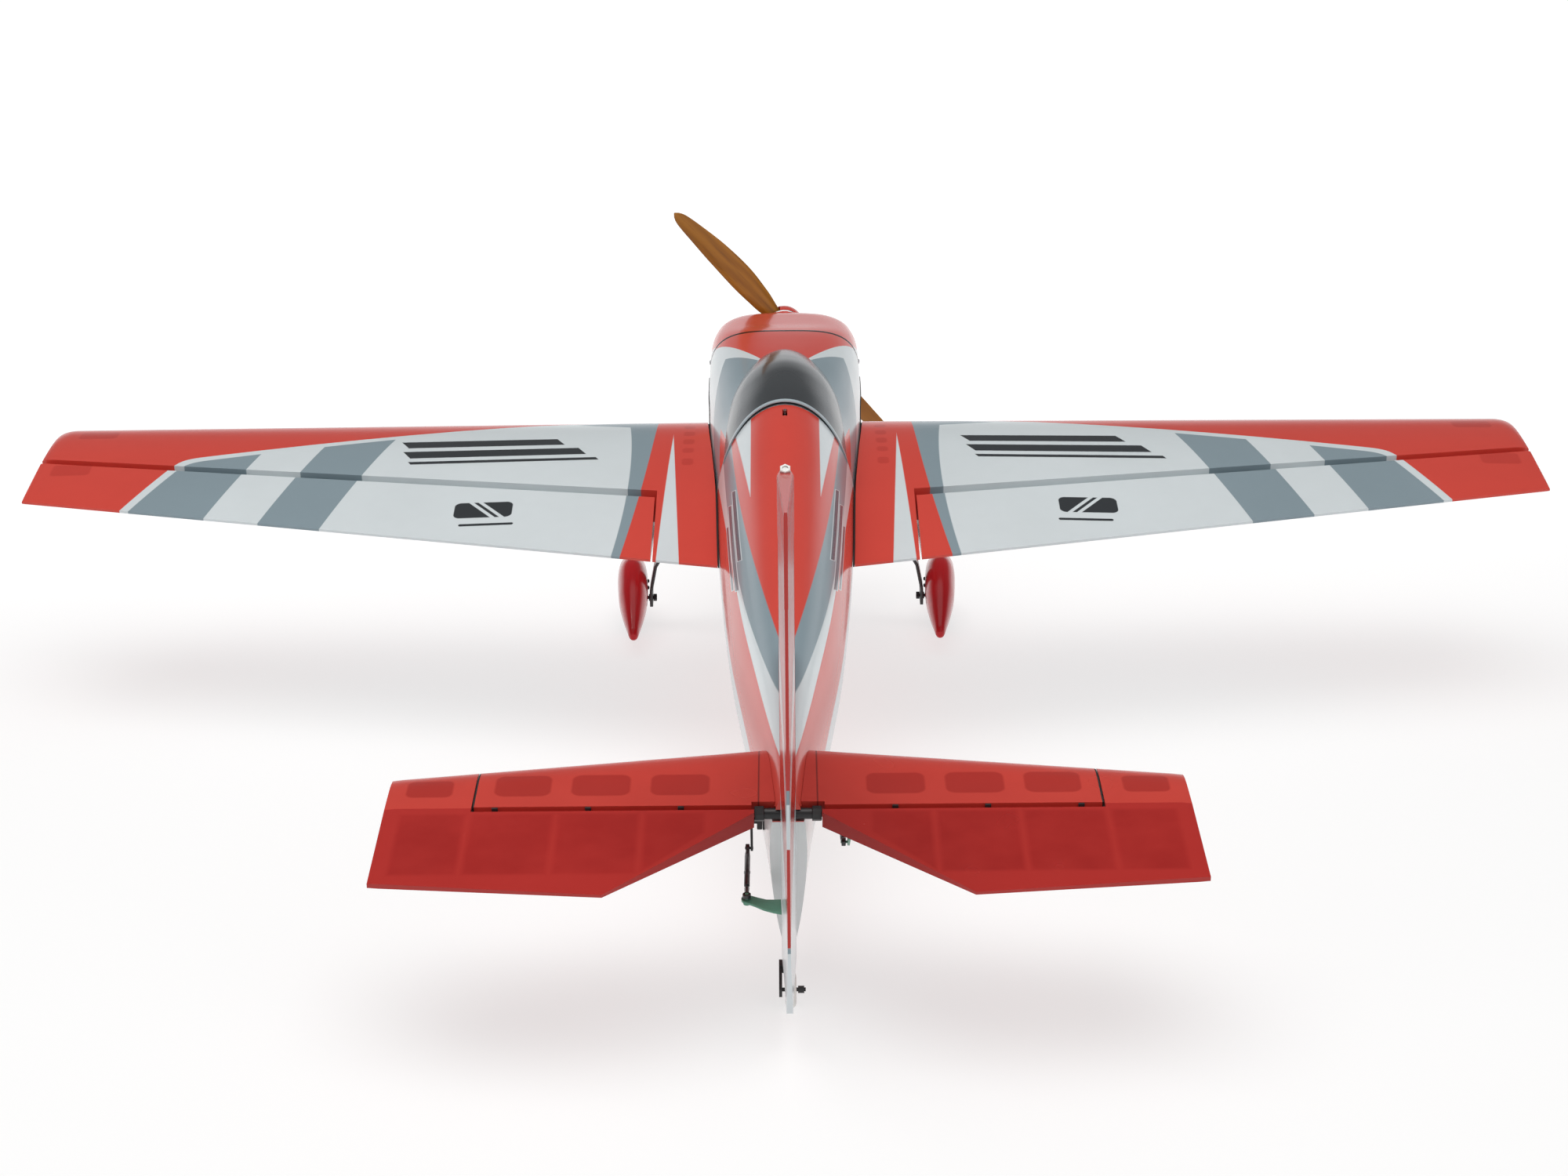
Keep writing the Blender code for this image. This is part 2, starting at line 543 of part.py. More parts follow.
def push_rod(name, start, end, axis, pivot, open_end=True):
    """Turnbuckle between two ball links whose rings turn about `axis`."""
    start, end = Vector(start), Vector(end)
    body = ring_end(name, start, axis, 0.0034, "carbon", pivot)
    run = (end - start).normalized()
    length = (end - start).length
    mid = turned("shank", start + run * 0.0024, run,
                 [(0.0, 0.0014), (0.010, 0.0014), (0.010, 0.0023), (length - 0.0148, 0.0023),
                  (length - 0.0148, 0.0014), (length - 0.0048, 0.0014)], sides=8)
    combine(body, mid, 'UNION')
    if open_end:
        combine(body, ring_end("eye", end, axis, 0.0034), 'UNION')
        combine(body, rod("eye_bore", end - Vector(axis).normalized() * 0.01,
                          end + Vector(axis).normalized() * 0.01, 0.0019, sides=8))
    combine(body, rod("start_bore", start - Vector(axis).normalized() * 0.01,
                      start + Vector(axis).normalized() * 0.01, 0.0019, sides=8))
    return smooth(body)


def servo_arm(name, pivot, ball, axis, out):
    """Flat arm from the servo output to a ball stud; `out` is the signed stud length along axis."""
    pivot, ball, axis = Vector(pivot), Vector(ball), Vector(axis).normalized()
    run = (ball - pivot).normalized()
    wide = axis.cross(run).normalized()
    reach = (ball - pivot).length
    rings = []
    for level in (-0.0010, 0.0010):
        ring = []
        for a, b in ((-0.0045, -0.003), (-0.0045, 0.003), (0.0, 0.0050), (reach, 0.0028),
                     (reach + 0.0026, 0.0014), (reach + 0.0026, -0.0014), (reach, -0.0028),
                     (0.0, -0.0050)):
            ring.append(pivot + run * a + wide * b + axis * level)
        rings.append(ring)
    arm = loft(name, rings, "black_plastic", pivot)
    combine(arm, rod("stud", ball, ball + axis * out, 0.0014, sides=8), 'UNION')
    return smooth(arm)


def aileron_linkage(side, word):
    along, _ = hinge_axes()
    axis = Vector((side * along.x, along.y, 0.0))
    z, ahead = AIL_SERVO_Z, AIL_SERVO_AHEAD
    servo = slanted_box("aileron_servo_" + word, side, (ahead - 0.0080, ahead + 0.0230),
                        (-0.0245, -0.0010), (z - 0.0065, z + 0.0065), "black_plastic")
    shaft = rod("shaft", linkage_point(side, ahead, -0.004, z), linkage_point(side, ahead, 0.0018, z),
                0.0030, sides=16)
    combine(servo, shaft, 'UNION')
    smooth(servo)
    pivot = linkage_point(side, ahead, 0.0031, z)
    ball = linkage_point(side, ahead, 0.0031, z - ARM_LENGTH)
    servo_arm("aileron_servo_arm_" + word, pivot, ball, axis, 0.0058)
    start = linkage_point(side, ahead, 0.0065, z - ARM_LENGTH)
    end = linkage_point(side, 0.0, 0.0065, -ARM_LENGTH)
    push_rod("aileron_pushrod_" + word, start, end, axis, start)
    skin = -wing_z(AIL_SERVO_X, aileron_hinge(AIL_SERVO_X) + 0.018) - 0.0010
    outline = ((-0.0150, skin), (-0.0330, skin + 0.0003), (-0.0330, skin - 0.0015),
               (0.0, -ARM_LENGTH - 0.0035), (0.0035, -ARM_LENGTH), (0.0, -ARM_LENGTH + 0.0035))
    rings = [[linkage_point(side, a, out, h) for a, h in outline] for out in (0.0095, 0.0115)]
    horn = loft("aileron_horn_" + word, rings, "glass_epoxy",
                (side * AIL_IN_X, AIL_HINGE_IN_Y, 0.0))
    combine(horn, rod("horn_stud", linkage_point(side, 0.0, 0.0042, -ARM_LENGTH),
                      linkage_point(side, 0.0, 0.0105, -ARM_LENGTH), 0.0014, sides=8), 'UNION')
    smooth(horn)


# ---------------------------------------------------------------- tail
def tail_half(y):
    """Half thickness of the tail surfaces aft of the hinge line."""
    share = (y - ELEV_HINGE_Y) / (ELEV_TE_Y - ELEV_HINGE_Y)
    return TAIL_HALF_HINGE + (TAIL_HALF_TE - TAIL_HALF_HINGE) * max(0.0, min(1.0, share))


def stab_le(x):
    return STAB_LE_ROOT_Y + STAB_LE_SLOPE * (x - STAB_ROOT_X)


def tail_nose(x, le, side, flip=1):
    """Rounded leading edge of a tail surface: upper or lower points from back to front."""
    h = TAIL_HALF_HINGE
    return [(side * x, le + d, STAB_Z + flip * h * s)
            for d, s in ((0.030, 1.0), (0.012, 0.80), (0.003, 0.42))]


def tailplane_parts():
    for side, word in ((1, "left"), (-1, "right")):
        rings = []
        back = ELEV_HINGE_Y - HINGE_GAP
        for x in (STAB_ROOT_X, STAB_END_X):
            le = stab_le(x)
            upper = [(side * x, back, STAB_Z + TAIL_HALF_HINGE)] + tail_nose(x, le, side)
            lower = [(side * x, back, STAB_Z - TAIL_HALF_HINGE)] + tail_nose(x, le, side, -1)
            rings.append(upper + [(side * x, le, STAB_Z)] + lower[::-1])
        stab = loft("stabilizer_" + word, rings, "film_red")
        combine(stab, hull_solid("tail_side", GAP, 0.80, 0.96))
        low, high = sorted((side * 0.0, side * 0.0290))
        combine(stab, box("joiner_notch", (low, ELEV_HINGE_Y - 0.0066, 0.0), (high, 1.0, 0.1)))
        combine(stab, rod("stab_bore", (0, 0.885, STAB_Z), (side * 0.121, 0.885, STAB_Z), 0.0038,
                          sides=12))
        smooth(stab)

        hinge = (side * ELEV_ROOT_X, ELEV_HINGE_Y, STAB_Z)
        rings = []
        for x, te in ((ELEV_ROOT_X, ELEV_HINGE_Y + 0.010), (ELEV_TE_X, ELEV_TE_Y),
                      (STAB_END_X + 0.0030, elevator_te(STAB_END_X + 0.0030))):
            front = min(ELEV_HINGE_Y + BEVEL * TAIL_HALF_HINGE, te - 0.004)
            upper = [(side * x, te, STAB_Z + tail_half(te)),
                     (side * x, front, STAB_Z + tail_half(front))]
            lower = [(a, b, 2 * STAB_Z - c) for a, b, c in upper[::-1]]
            rings.append(upper + [(side * x, ELEV_HINGE_Y, STAB_Z)] + lower)
        elevator = loft("elevator_" + word, rings, "film_red", hinge)
        rings = []
        for x in (STAB_END_X + 0.0020, ELEV_TIP_X):
            le, te = stab_le(x), elevator_te(x)
            upper = [(side * x, te, STAB_Z + tail_half(te)),
                     (side * x, ELEV_HINGE_Y, STAB_Z + TAIL_HALF_HINGE)] + tail_nose(x, le, side)
            lower = [(a, b, 2 * STAB_Z - c) for a, b, c in upper[::-1]]
            rings.append(upper + [(side * x, le, STAB_Z)] + lower)
        combine(elevator, loft("balance", rings), 'UNION')
        smooth(elevator)
    smooth(rod("stabilizer_tube", (-0.120, 0.885, STAB_Z), (0.120, 0.885, STAB_Z), 0.0035, "carbon",
               sides=16))
    joiner = rod("elevator_joiner", (-0.0266, ELEV_HINGE_Y, STAB_Z), (0.0266, ELEV_HINGE_Y, STAB_Z),
                 0.0045, "black_plastic", (0, ELEV_HINGE_Y, STAB_Z), sides=16)
    for side in (1, -1):
        combine(joiner, rod("end_block", (side * 0.0190, ELEV_HINGE_Y, STAB_Z),
                            (side * 0.0267, ELEV_HINGE_Y, STAB_Z), 0.0060, sides=8,
                            phase=math.pi / 8), 'UNION')
    smooth(joiner)


def elevator_te(x):
    share = (x - ELEV_TE_X) / (ELEV_TIP_X - ELEV_TE_X)
    return ELEV_TE_Y + (ELEV_TIP_TE_Y - ELEV_TE_Y) * share


def fin_le(z):
    return FIN_TOP_LE_Y + FIN_LE_SLOPE * (z - FIN_TOP_Z)


def fin_parts():
    rings = []
    for z in (0.045, FIN_TOP_Z):
        le = fin_le(z)
        rings.append([(FIN_HALF, HULL_END_Y, z), (FIN_HALF, le + 0.034, z),
                      (FIN_HALF * 0.72, le + 0.012, z), (FIN_HALF * 0.3, le + 0.002, z),
                      (-FIN_HALF * 0.3, le + 0.002, z), (-FIN_HALF * 0.72, le + 0.012, z),
                      (-FIN_HALF, le + 0.034, z), (-FIN_HALF, HULL_END_Y, z)])
    fin = loft("fin", rings, "film_red")
    combine(fin, hull_solid("fin_seat", GAP, 0.60, 0.96))
    smooth(fin)

    def rudder_half(y):
        share = (y - RUD_HINGE_Y) / (RUD_TE_Y - RUD_HINGE_Y)
        return FIN_HALF + (TE_HALF - FIN_HALF) * max(0.0, min(1.0, share))

    hinge = (0, RUD_HINGE_Y, RUD_BOTTOM_Z)
    front = RUD_HINGE_Y + BEVEL * FIN_HALF * 1.25
    rings = []
    for te, z_te, z_hinge in ((1.0440, -0.0755, RUD_BOTTOM_Z), (RUD_TE_Y, 0.0020, 0.0020),
                              (RUD_TE_Y, RUD_HORN_Z + 0.001, RUD_HORN_Z + 0.001)):
        z_front = z_hinge + (z_te - z_hinge) * (front - RUD_HINGE_Y) / (te - RUD_HINGE_Y)
        half, wide = rudder_half(te), rudder_half(front)
        rings.append([(half, te, z_te), (wide, front, z_front), (0, RUD_HINGE_Y, z_hinge),
                      (-wide, front, z_front), (-half, te, z_te)])
    rudder = loft("rudder", rings, "film_white", hinge)
    rings = []
    for top in (0, 1):
        le = fin_le(RUD_HORN_Z) + (0.0350 if top else 0.0)
        ring = []
        for y, half in ((RUD_TE_Y + 0.0001, TE_HALF), (RUD_HINGE_Y, FIN_HALF), (le + 0.020, FIN_HALF),
                        (le + 0.009, FIN_HALF * 0.72), (le + 0.0015, FIN_HALF * 0.3)):
            z = RUD_TOP_Z - RUD_TOP_SLOPE * (RUD_TE_Y - y) if top else RUD_HORN_Z
            ring.append((half + 0.0002, y, z))
        rings.append(ring + [(-a, b, c) for a, b, c in ring[::-1]])
    combine(rudder, loft("rudder_balance", rings), 'UNION')
    smooth(rudder)
    tip_y = fin_le(RUD_HORN_Z) + 0.0510
    tip_z = RUD_TOP_Z - RUD_TOP_SLOPE * (RUD_TE_Y - tip_y)
    lean = Vector((0, -RUD_TOP_SLOPE, 1)).normalized()
    fitting = turned("rudder_top_nut", Vector((0, tip_y, tip_z)) + lean * GAP, lean,
                     [(0.0, 0.0042), (0.0052, 0.0042)], "white_plastic", hinge, sides=6)
    combine(fitting, rod("nut_eye", Vector((0, tip_y, tip_z)) + lean * 0.002,
                         Vector((0, tip_y, tip_z)) + lean * 0.02, 0.0018, sides=12))


def tail_linkages():
    # Rudder: servo through the port side, arm hanging down, rod running aft to the green horn.
    servo = box("rudder_servo", (0.0030, 0.8637, RUD_SERVO_Z - 0.0063),
                (0.0256, 0.8923, RUD_SERVO_Z + 0.0063), "black_plastic")
    combine(servo, rod("shaft", (0.024, RUD_SERVO_Y, RUD_SERVO_Z), (0.0288, RUD_SERVO_Y, RUD_SERVO_Z),
                       0.0030), 'UNION')
    smooth(servo)
    x = RUD_LINK_X - 0.0035
    pivot = (x, RUD_SERVO_Y, RUD_SERVO_Z)
    ball = (x, RUD_SERVO_Y, RUD_SERVO_Z - ARM_LENGTH)
    servo_arm("rudder_servo_arm", pivot, ball, (1, 0, 0), 0.0060)
    start = (RUD_LINK_X, RUD_SERVO_Y, RUD_SERVO_Z - ARM_LENGTH)
    end = (RUD_LINK_X, RUD_HINGE_Y + 0.0120, RUD_SERVO_Z - ARM_LENGTH)
    push_rod("rudder_pushrod", start, end, (1, 0, 0), start, open_end=False)
    level = RUD_SERVO_Z - ARM_LENGTH - 0.0034
    outline = ((0.0062, 0.9600), (0.0180, 0.9600), (0.0320, 0.9530), (0.0378, 0.9560),
               (0.0378, 0.9620), (0.0320, 0.9650), (0.0200, 0.9740), (0.0058, 0.9800))
    prism("rudder_horn", outline, level - 0.0020, level, 'z', "glass_epoxy",
          (0, RUD_HINGE_Y, RUD_BOTTOM_Z))

    # Elevator: servo through the starboard side, arm hanging down, rod to the horn under the surface.
    servo = box("elevator_servo", (-0.0300, 0.8392, ELEV_SERVO_Z - 0.0063),
                (-0.0040, 0.8678, ELEV_SERVO_Z + 0.0063), "black_plastic")
    combine(servo, rod("shaft", (-0.028, ELEV_SERVO_Y, ELEV_SERVO_Z),
                       (-0.0392, ELEV_SERVO_Y, ELEV_SERVO_Z), 0.0030), 'UNION')
    smooth(servo)
    x = -(ELEV_LINK_X - 0.0035)
    servo_arm("elevator_servo_arm", (x, ELEV_SERVO_Y, ELEV_SERVO_Z),
              (x, ELEV_SERVO_Y, ELEV_SERVO_Z - ARM_LENGTH), (-1, 0, 0), 0.0058)
    start = (-ELEV_LINK_X, ELEV_SERVO_Y, ELEV_SERVO_Z - ARM_LENGTH)
    end = (-ELEV_LINK_X, ELEV_HINGE_Y, STAB_Z - ARM_LENGTH)
    push_rod("elevator_pushrod", start, end, (1, 0, 0), start)
    skin = STAB_Z - TAIL_HALF_HINGE - 0.0003
    outline = ((ELEV_HINGE_Y + 0.0080, skin), (ELEV_HINGE_Y + 0.0260, skin + 0.0007),
               (ELEV_HINGE_Y + 0.0260, skin - 0.0015), (ELEV_HINGE_Y, STAB_Z - ARM_LENGTH - 0.0035),
               (ELEV_HINGE_Y - 0.0035, STAB_Z - ARM_LENGTH),
               (ELEV_HINGE_Y, STAB_Z - ARM_LENGTH + 0.0035))
    horn = prism("elevator_horn", outline, -0.0490, -0.0470, 'x', "glass_epoxy",
                 (-ELEV_ROOT_X, ELEV_HINGE_Y, STAB_Z))
    combine(horn, rod("horn_stud", (-0.0417, ELEV_HINGE_Y, STAB_Z - ARM_LENGTH),
                      (-0.0480, ELEV_HINGE_Y, STAB_Z - ARM_LENGTH), 0.0014, sides=8), 'UNION')
    smooth(horn)


# ---------------------------------------------------------------- undercarriage
def main_gear_parts():
    path = ((0.0, -0.1048, 0.0225), (0.046, -0.1048, 0.0225), (0.062, -0.1090, 0.0210),
            (0.118, -0.1500, 0.0150), (0.1430, -0.1740, 0.0130), (0.1510, -0.1890, 0.0120),
            (LEG_X - 0.0003, -0.2190, 0.0115), (LEG_X, -0.2240, 0.0112), (LEG_X, -0.2400, 0.0110))
    path = [(-x, z, w) for x, z, w in path[:0:-1]] + list(path)
    rings = []
    for i, (x, z, wide) in enumerate(path):
        before, after = path[max(0, i - 1)], path[min(len(path) - 1, i + 1)]
        run = Vector((after[0] - before[0], 0, after[1] - before[1])).normalized()
        normal = Vector((-run.z, 0, run.x)) * (LEG_T / 2)
        ring = []
        for s, t in ((1, 1), (1, -1), (-1, -1), (-1, 1)):
            ring.append(Vector((x, AXLE_Y + s * wide, z)) + normal * t)
        rings.append(ring)
    gear = loft("main_gear", rings, "carbon")
    for side in (1, -1):
        combine(gear, rod("axle_hole", (side * 0.14, AXLE_Y, AXLE_Z), (side * 0.17, AXLE_Y, AXLE_Z),
                          0.0024, sides=12))
    smooth(gear)

    for side, word in ((1, "left"), (-1, "right")):
        axle = (side * TRACK_X, AXLE_Y, AXLE_Z)
        outward = (side, 0, 0)
        inner = LEG_X - LEG_T / 2 - GAP - 0.0040
        length = TRACK_X + 0.0100 - inner
        smooth(turned("axle_" + word, (side * inner, AXLE_Y, AXLE_Z), outward,
                      [(0.0, 0.0042), (0.0040, 0.0042), (0.0040, 0.0020), (0.0082, 0.0020),
                       (0.0082, 0.0040), (0.0094, 0.0040), (0.0094, 0.0020), (length, 0.0020)],
                      "steel", sides=12))
        hub = turned("wheel_" + word, (side * (TRACK_X - 0.0080), AXLE_Y, AXLE_Z), outward,
                     [(0.0, 0.0100), (0.0015, 0.0180), (0.0145, 0.0180), (0.0160, 0.0100)],
                     "white_plastic", axle, sides=24, phase=ATTITUDE)
        combine(hub, rod("hub_bore", (side * 0.16, AXLE_Y, AXLE_Z), (side * 0.2, AXLE_Y, AXLE_Z),
                         0.0023, sides=12))
        smooth(hub)
        w = TYRE_W / 2
        tyre = turned("tyre_" + word, axle, outward,
                      [(-w * 0.55, 0.0183), (-w, 0.0240), (-w * 0.92, 0.0310), (-w * 0.45, TYRE_R),
                       (w * 0.45, TYRE_R), (w * 0.92, 0.0310), (w, 0.0240), (w * 0.55, 0.0183)],
                      "rubber", axle, sides=28, phase=ATTITUDE, closed=True)
        smooth(tyre, 40)
        pant_part(side, word)


def pant_part(side, word):
    """Teardrop wheel fairing; rows: distance aft of the axle, half width, top, bottom above axle."""
    rows = ((-0.072, 0.0020, 0.008, 0.001), (-0.068, 0.0075, 0.017, -0.005),
            (-0.055, 0.0130, 0.028, -0.010), (-0.030, 0.0168, 0.040, -0.013),
            (0.000, 0.0175, 0.046, -0.014), (0.035, 0.0165, 0.041, -0.012),
            (0.070, 0.0130, 0.030, -0.007), (0.100, 0.0075, 0.018, -0.002),
            (0.116, 0.0020, 0.009, 0.003))
    rings = []
    for dy, half, top, bottom in rows:
        mid = (top + bottom) / 2
        centre = side * (TRACK_X - PANT_TOE * dy)
        ring = []
        for k in range(16):
            a = 2 * math.pi * k / 16
            ring.append((centre + half * math.copysign(abs(math.cos(a)) ** 0.85, math.cos(a)),
                         AXLE_Y + dy,
                         AXLE_Z + mid + (top - mid) * math.copysign(abs(math.sin(a)) ** 0.85,
                                                                    math.sin(a))))
        rings.append(ring)
    pant = loft("wheel_pant_" + word, rings, "film_red")
    combine(pant, rod("wheel_well", (side * (TRACK_X - 0.0116), AXLE_Y, AXLE_Z),
                      (side * (TRACK_X + 0.0116), AXLE_Y, AXLE_Z), 0.0385, sides=28))
    combine(pant, rod("axle_way", (side * 0.150, AXLE_Y, AXLE_Z), (side * 0.170, AXLE_Y, AXLE_Z),
                      0.0024, sides=12))
    smooth(pant, 45)


def tail_gear_parts():
    leaf = loft("tail_gear_leaf",
                [[(s * half, y, z) for s, z in ((1, low), (1, low + 0.0022), (-1, low + 0.0022),
                                                (-1, low))]
                 for y, half, low in ((0.860, 0.0050, -0.0950), (0.905, 0.0050, -0.0928),
                                      (0.9530, 0.0045, -0.0915))], "aluminium")
    combine(leaf, hull_solid("belly", GAP, 0.80, 0.96))
    combine(leaf, rod("pivot_hole", (0, TAIL_PIVOT_Y, -0.2), (0, TAIL_PIVOT_Y, 0.0), 0.0019, sides=12))
    pivot = (0, TAIL_PIVOT_Y, -0.0950)
    fork = box("tail_fork", (-0.0045, TAIL_PIVOT_Y - 0.0045, -0.0990),
               (0.0085, TAIL_PIVOT_Y + 0.0045, -0.0919), "carbon", pivot)
    combine(fork, rod("pivot_pin", (0, TAIL_PIVOT_Y, -0.0950), (0, TAIL_PIVOT_Y, -0.0872), 0.0015,
                      sides=12), 'UNION')
    side_plate = ((TAIL_PIVOT_Y - 0.0045, -0.0935), (TAIL_PIVOT_Y + 0.0045, -0.0935),
                  (TAIL_AXLE_Y + 0.0045, -0.1000), (TAIL_AXLE_Y + 0.0045, -0.1075),
                  (TAIL_AXLE_Y - 0.0045, -0.1075), (TAIL_PIVOT_Y - 0.0045, -0.1000))
    combine(fork, prism("side_plate", side_plate, 0.0060, 0.0085, 'x'), 'UNION')
    combine(fork, rod("tail_axle", (0.0070, TAIL_AXLE_Y, TAIL_AXLE_Z),
                      (-0.0130, TAIL_AXLE_Y, TAIL_AXLE_Z), 0.0016, sides=12), 'UNION')
    combine(fork, rod("axle_collar", (-0.0068, TAIL_AXLE_Y, TAIL_AXLE_Z),
                      (-0.0118, TAIL_AXLE_Y, TAIL_AXLE_Z), 0.0030, sides=12), 'UNION')
    smooth(fork)
    axle = (-0.0010, TAIL_AXLE_Y, TAIL_AXLE_Z)
    w = TAIL_TYRE_W / 2
    smooth(turned("tail_wheel", axle, (1, 0, 0),
                  [(-w, 0.0019), (-w, 0.0110), (-w * 0.5, TAIL_TYRE_R), (w * 0.5, TAIL_TYRE_R),
                   (w, 0.0110), (w, 0.0019)], "rubber", axle, sides=28, phase=ATTITUDE, closed=True),
           40)


# ---------------------------------------------------------------- equipment
def equipment_parts():
    box("battery_tray", (-0.0360, -0.0900, -0.0226), (0.0360, 0.1040, -0.0196), "plywood")
    box("battery", (-0.0230, -0.0780, -0.0193), (0.0230, 0.0600, 0.0240), "blue_plastic")
    box("speed_controller", (-0.0160, -0.0840, -0.0370), (0.0160, -0.0240, -0.0229),
        "black_plastic")
    box("receiver", (-0.0130, 0.1700, -0.0230), (0.0130, 0.2150, -0.0100), "white_plastic")
    box("receiver_shelf", (-0.0400, 0.1500, -0.0263), (0.0400, 0.2300, -0.0233), "plywood")


for leftover in list(bpy.data.objects):
    bpy.data.objects.remove(leftover)
fuselage_parts()
cowl_parts()
propeller_parts()
wing_parts()
fin_parts()
tailplane_parts()
tail_linkages()
main_gear_parts()
tail_gear_parts()
equipment_parts()
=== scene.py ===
"""Looks of the aerobatic model aeroplane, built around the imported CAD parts.

Pieces are made in "aircraft axes", metres: x to port, y aft, z up, origin on the centre line at the
wing plane. PLACE turns them nose-up onto the ground, so a piece's own texture coordinates are
aircraft axes and the painted scheme can be written as lines and curves in them.
"""

import math

import bmesh
import bpy
from mathutils import Matrix, Vector


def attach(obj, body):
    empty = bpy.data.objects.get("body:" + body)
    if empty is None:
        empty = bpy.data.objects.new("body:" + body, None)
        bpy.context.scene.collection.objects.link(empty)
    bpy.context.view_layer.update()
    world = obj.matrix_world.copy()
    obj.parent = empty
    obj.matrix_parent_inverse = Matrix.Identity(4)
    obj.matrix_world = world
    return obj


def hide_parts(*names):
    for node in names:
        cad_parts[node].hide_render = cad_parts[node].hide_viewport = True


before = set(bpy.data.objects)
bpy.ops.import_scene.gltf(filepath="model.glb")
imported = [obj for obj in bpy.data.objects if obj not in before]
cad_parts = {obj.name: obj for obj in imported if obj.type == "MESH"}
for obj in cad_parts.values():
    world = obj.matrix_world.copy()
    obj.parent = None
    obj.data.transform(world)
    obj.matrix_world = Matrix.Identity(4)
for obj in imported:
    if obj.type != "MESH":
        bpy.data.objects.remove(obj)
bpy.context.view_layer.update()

# ---------------------------------------------------------------- main dimensions, as in the CAD
GAP = 0.0003
HALF_SPAN, WING_LE_Y, ROOT_TE_Y, TIP_TE_Y = 0.8, 0.023, 0.4013, 0.2126
WING_THICKNESS, TE_HALF = 0.135, 0.0012
TUBE_Y, TUBE_R = 0.125, 0.008
AIL_IN_X, AIL_HINGE_IN_Y, AIL_HINGE_TIP_Y = 0.135, 0.237, 0.1235
HINGE_GAP, BEVEL, FILM_SAG = 0.0015, math.tan(math.radians(36.0)), 0.0004
SIDES = ((1, "left"), (-1, "right"))
STAB_Z, STAB_ROOT_X, STAB_END_X = 0.0445, 0.0085, 0.249
STAB_LE_ROOT_Y, STAB_LE_SLOPE, STAB_TUBE_Y = 0.84, 0.15, 0.885
ELEV_HINGE_Y, ELEV_ROOT_X, ELEV_TIP_X = 0.942, 0.027, 0.32
ELEV_TE_X, ELEV_TE_Y, ELEV_TIP_TE_Y, ELEV_ROOT_TE_Y = 0.1409, 1.0626, 1.0449, ELEV_HINGE_Y + 0.01
STAB_BACK_Y = ELEV_HINGE_Y - HINGE_GAP
TAIL_HALF_HINGE, TAIL_HALF_TE = 0.0072, 0.0012
RUD_HINGE_Y, RUD_TE_Y, RUD_BOTTOM_Z, RUD_TOP_Z, RUD_TOP_SLOPE = 0.9475, 1.08, -0.083, 0.3667, 0.21
RUD_HORN_Z, FIN_TOP_Z, FIN_TOP_LE_Y, FIN_LE_SLOPE, FIN_HALF = 0.292, 0.29, 0.885, 0.82, 0.0062
HULL_WALL, HULL_FRONT_Y, HULL_END_Y = 0.003, -0.1, 0.945
HATCH_REAR_Y, HATCH_SILL_Z, DECK_LATCH_Z = 0.24, 0.012, 0.101
SKIN_FRONT_Y = HULL_FRONT_Y + 0.0004
THRUST_Z, COWL_FRONT_Y, COWL_RING_R, COWL_REAR_Y = 0.016, -0.247, 0.0248, -0.1024
PROP_Y, PROP_R, PROP_ANGLE, SHAFT_BORE_R = -0.262, 0.1925, math.radians(42.0), 0.0043
AXLE_Y, AXLE_Z, TYRE_R, TYRE_W, RIM_WIDTH = -0.03, -0.2331, 0.0345, 0.02, 0.016
TRACK_X, LEG_X, LEG_T, PANT_TOE, WELL_R, WELL_HALF = 0.1786, 0.1572, 0.0036, 0.05, 0.0385, 0.0116
TAIL_AXLE_Y, TAIL_AXLE_Z, TAIL_TYRE_R, TAIL_TYRE_W = 0.97, -0.1032, 0.0145, 0.009
ARM_LENGTH, STUD_R, SERVO_SHAFT_R, SERVO_HALF = 0.0265, 0.0011, 0.003, 0.0063
SERVO_PORT_HALF = 0.0068
RUD_SERVO_Y, RUD_SERVO_Z, RUD_LINK_X = 0.8865, 0.006, 0.0336
ELEV_SERVO_Y, ELEV_SERVO_Z, ELEV_LINK_X = 0.862, 0.012, 0.044
AIL_SERVO_X, AIL_SERVO_AHEAD, AIL_SERVO_Z = 0.36, 0.06, -0.0125

WHEEL_BASE = math.hypot(TAIL_AXLE_Y - AXLE_Y, TAIL_AXLE_Z - AXLE_Z)
ATTITUDE = (math.atan2(TAIL_AXLE_Z - AXLE_Z, TAIL_AXLE_Y - AXLE_Y)
            + math.asin((TYRE_R - TAIL_TYRE_R) / WHEEL_BASE))
TURN = Matrix.Rotation(-ATTITUDE, 4, 'X')
GROUND_Z = -(TURN @ Vector((0.0, AXLE_Y, AXLE_Z))).z + TYRE_R
CENTRE_Y = -0.4124
PLACE = Matrix.Translation((0.0, CENTRE_Y, GROUND_Z)) @ TURN

